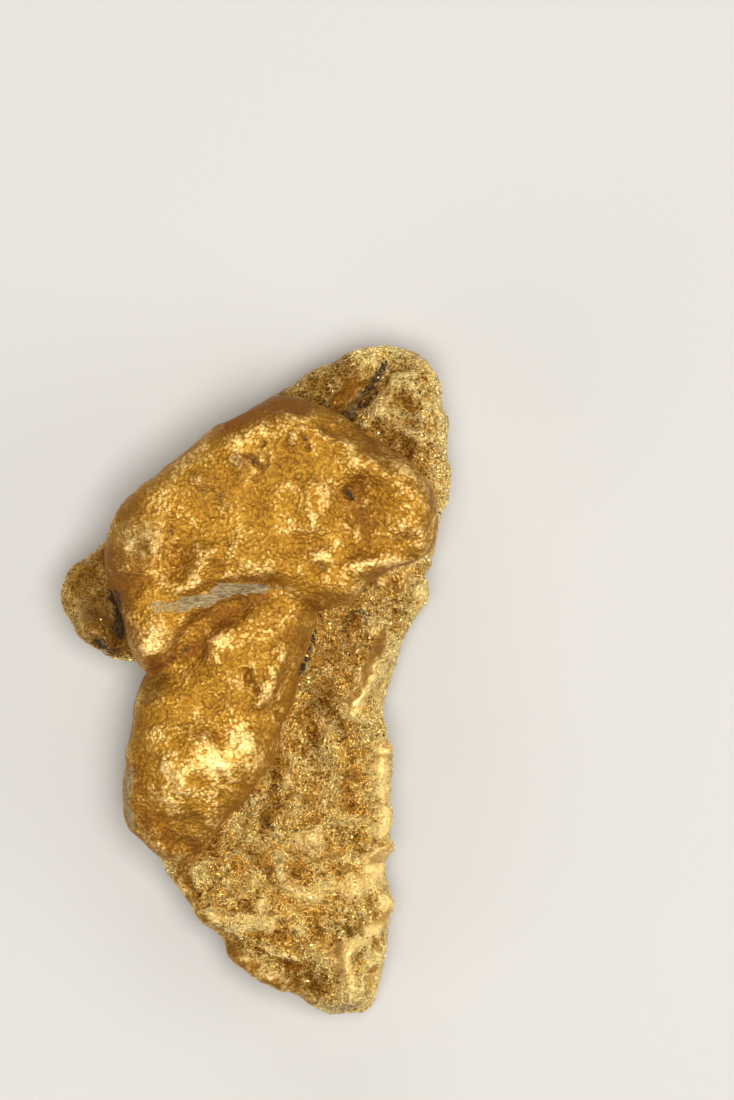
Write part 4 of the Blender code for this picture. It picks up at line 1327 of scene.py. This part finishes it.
def add_softbox(name, place, size, power, target):
    light = bpy.data.lights.new(name, "AREA")
    light.shape = "RECTANGLE"
    light.size, light.size_y = size
    light.energy = power
    softbox = bpy.data.objects.new(name, light)
    softbox.location = place
    aim = Vector(target) - Vector(place)
    softbox.rotation_euler = aim.to_track_quat("-Z", "Y").to_euler()
    bpy.context.scene.collection.objects.link(softbox)


class NUGGET_OT_stage(bpy.types.Operator):
    """Set the pale floor, the soft lights and the camera that looks down on the nugget"""

    bl_idname = "nugget.stage"
    bl_label = "Stage"

    def execute(self, context):
        stage = context.scene.nugget_stage
        self.add_floor(stage.floor)
        self.add_surround(context.scene, stage.surround)
        middle = (0.0, 0.0, CAMERA_LEVEL)
        for side, place, size in SOFTBOXES:
            add_softbox(f"{side} softbox", place, size, getattr(stage, f"{side}_power"), middle)
        self.add_camera(context.scene)
        context.scene.view_settings.view_transform = "Standard"
        return {"FINISHED"}

    def add_floor(self, colour):
        bm = bmesh.new()
        bmesh.ops.create_grid(bm, x_segments=1, y_segments=1, size=FLOOR_SIZE / 2)
        floor = bpy.data.objects.new("floor", mesh_from(bm, "floor"))
        material, _, shader, _ = new_material("floor")
        feed(shader, {"Base Color": colour, "Roughness": 0.85})
        floor.data.materials.append(material)
        bpy.context.scene.collection.objects.link(floor)

    def add_surround(self, scene, colour):
        world = bpy.data.worlds.new("surround")
        world.use_nodes = True
        world.node_tree.nodes["Background"].inputs["Color"].default_value = colour
        scene.world = world

    def add_camera(self, scene):
        lens = bpy.data.cameras.new("camera")
        lens.sensor_width = SENSOR
        lens.lens = SENSOR * CAMERA_RISE / FRAME_HEIGHT
        lens.clip_start = 0.01
        camera = bpy.data.objects.new("camera", lens)
        camera.location = (*CAMERA_SPOT, CAMERA_RISE + CAMERA_LEVEL)
        scene.collection.objects.link(camera)
        scene.camera = camera


class NUGGET_PT_panel(bpy.types.Panel):
    """Sizes, colours and steps of the nugget"""

    bl_label = "Gold nugget"
    bl_space_type = "VIEW_3D"
    bl_region_type = "UI"
    bl_category = "Nugget"

    def draw(self, context):
        for name, (_, *operators) in ROWS.items():
            box = self.layout.box()
            settings = getattr(context.scene, name)
            for item in settings.bl_rna.properties:
                if not item.is_readonly and item.identifier != "name":
                    box.prop(settings, item.identifier)
            for operator in operators:
                box.operator(operator.bl_idname)


# What the panel shows: settings under the scene's property that holds them, and their operators.
ROWS = {
    "nugget_form": (NuggetFormSettings, NUGGET_OT_surface),
    "nugget_finish": (NuggetFinishSettings,),
    "nugget_grains": (NuggetGrainSettings, NUGGET_OT_gold_grains, NUGGET_OT_pit_dirt),
    "nugget_stage": (NuggetStageSettings, NUGGET_OT_stage),
}
CLASSES = (*(one for row in ROWS.values() for one in row), NUGGET_PT_panel)


def register():
    for one in CLASSES:
        bpy.utils.register_class(one)
    for name, (settings, *_) in ROWS.items():
        setattr(bpy.types.Scene, name, bpy.props.PointerProperty(type=settings))


def unregister():
    for name in ROWS:
        delattr(bpy.types.Scene, name)
    for one in reversed(CLASSES):
        bpy.utils.unregister_class(one)


def main():
    register()
    bpy.ops.nugget.surface()
    bpy.ops.nugget.gold_grains()
    bpy.ops.nugget.pit_dirt()
    bpy.ops.nugget.stage()


if __name__ == "__main__":
    main()
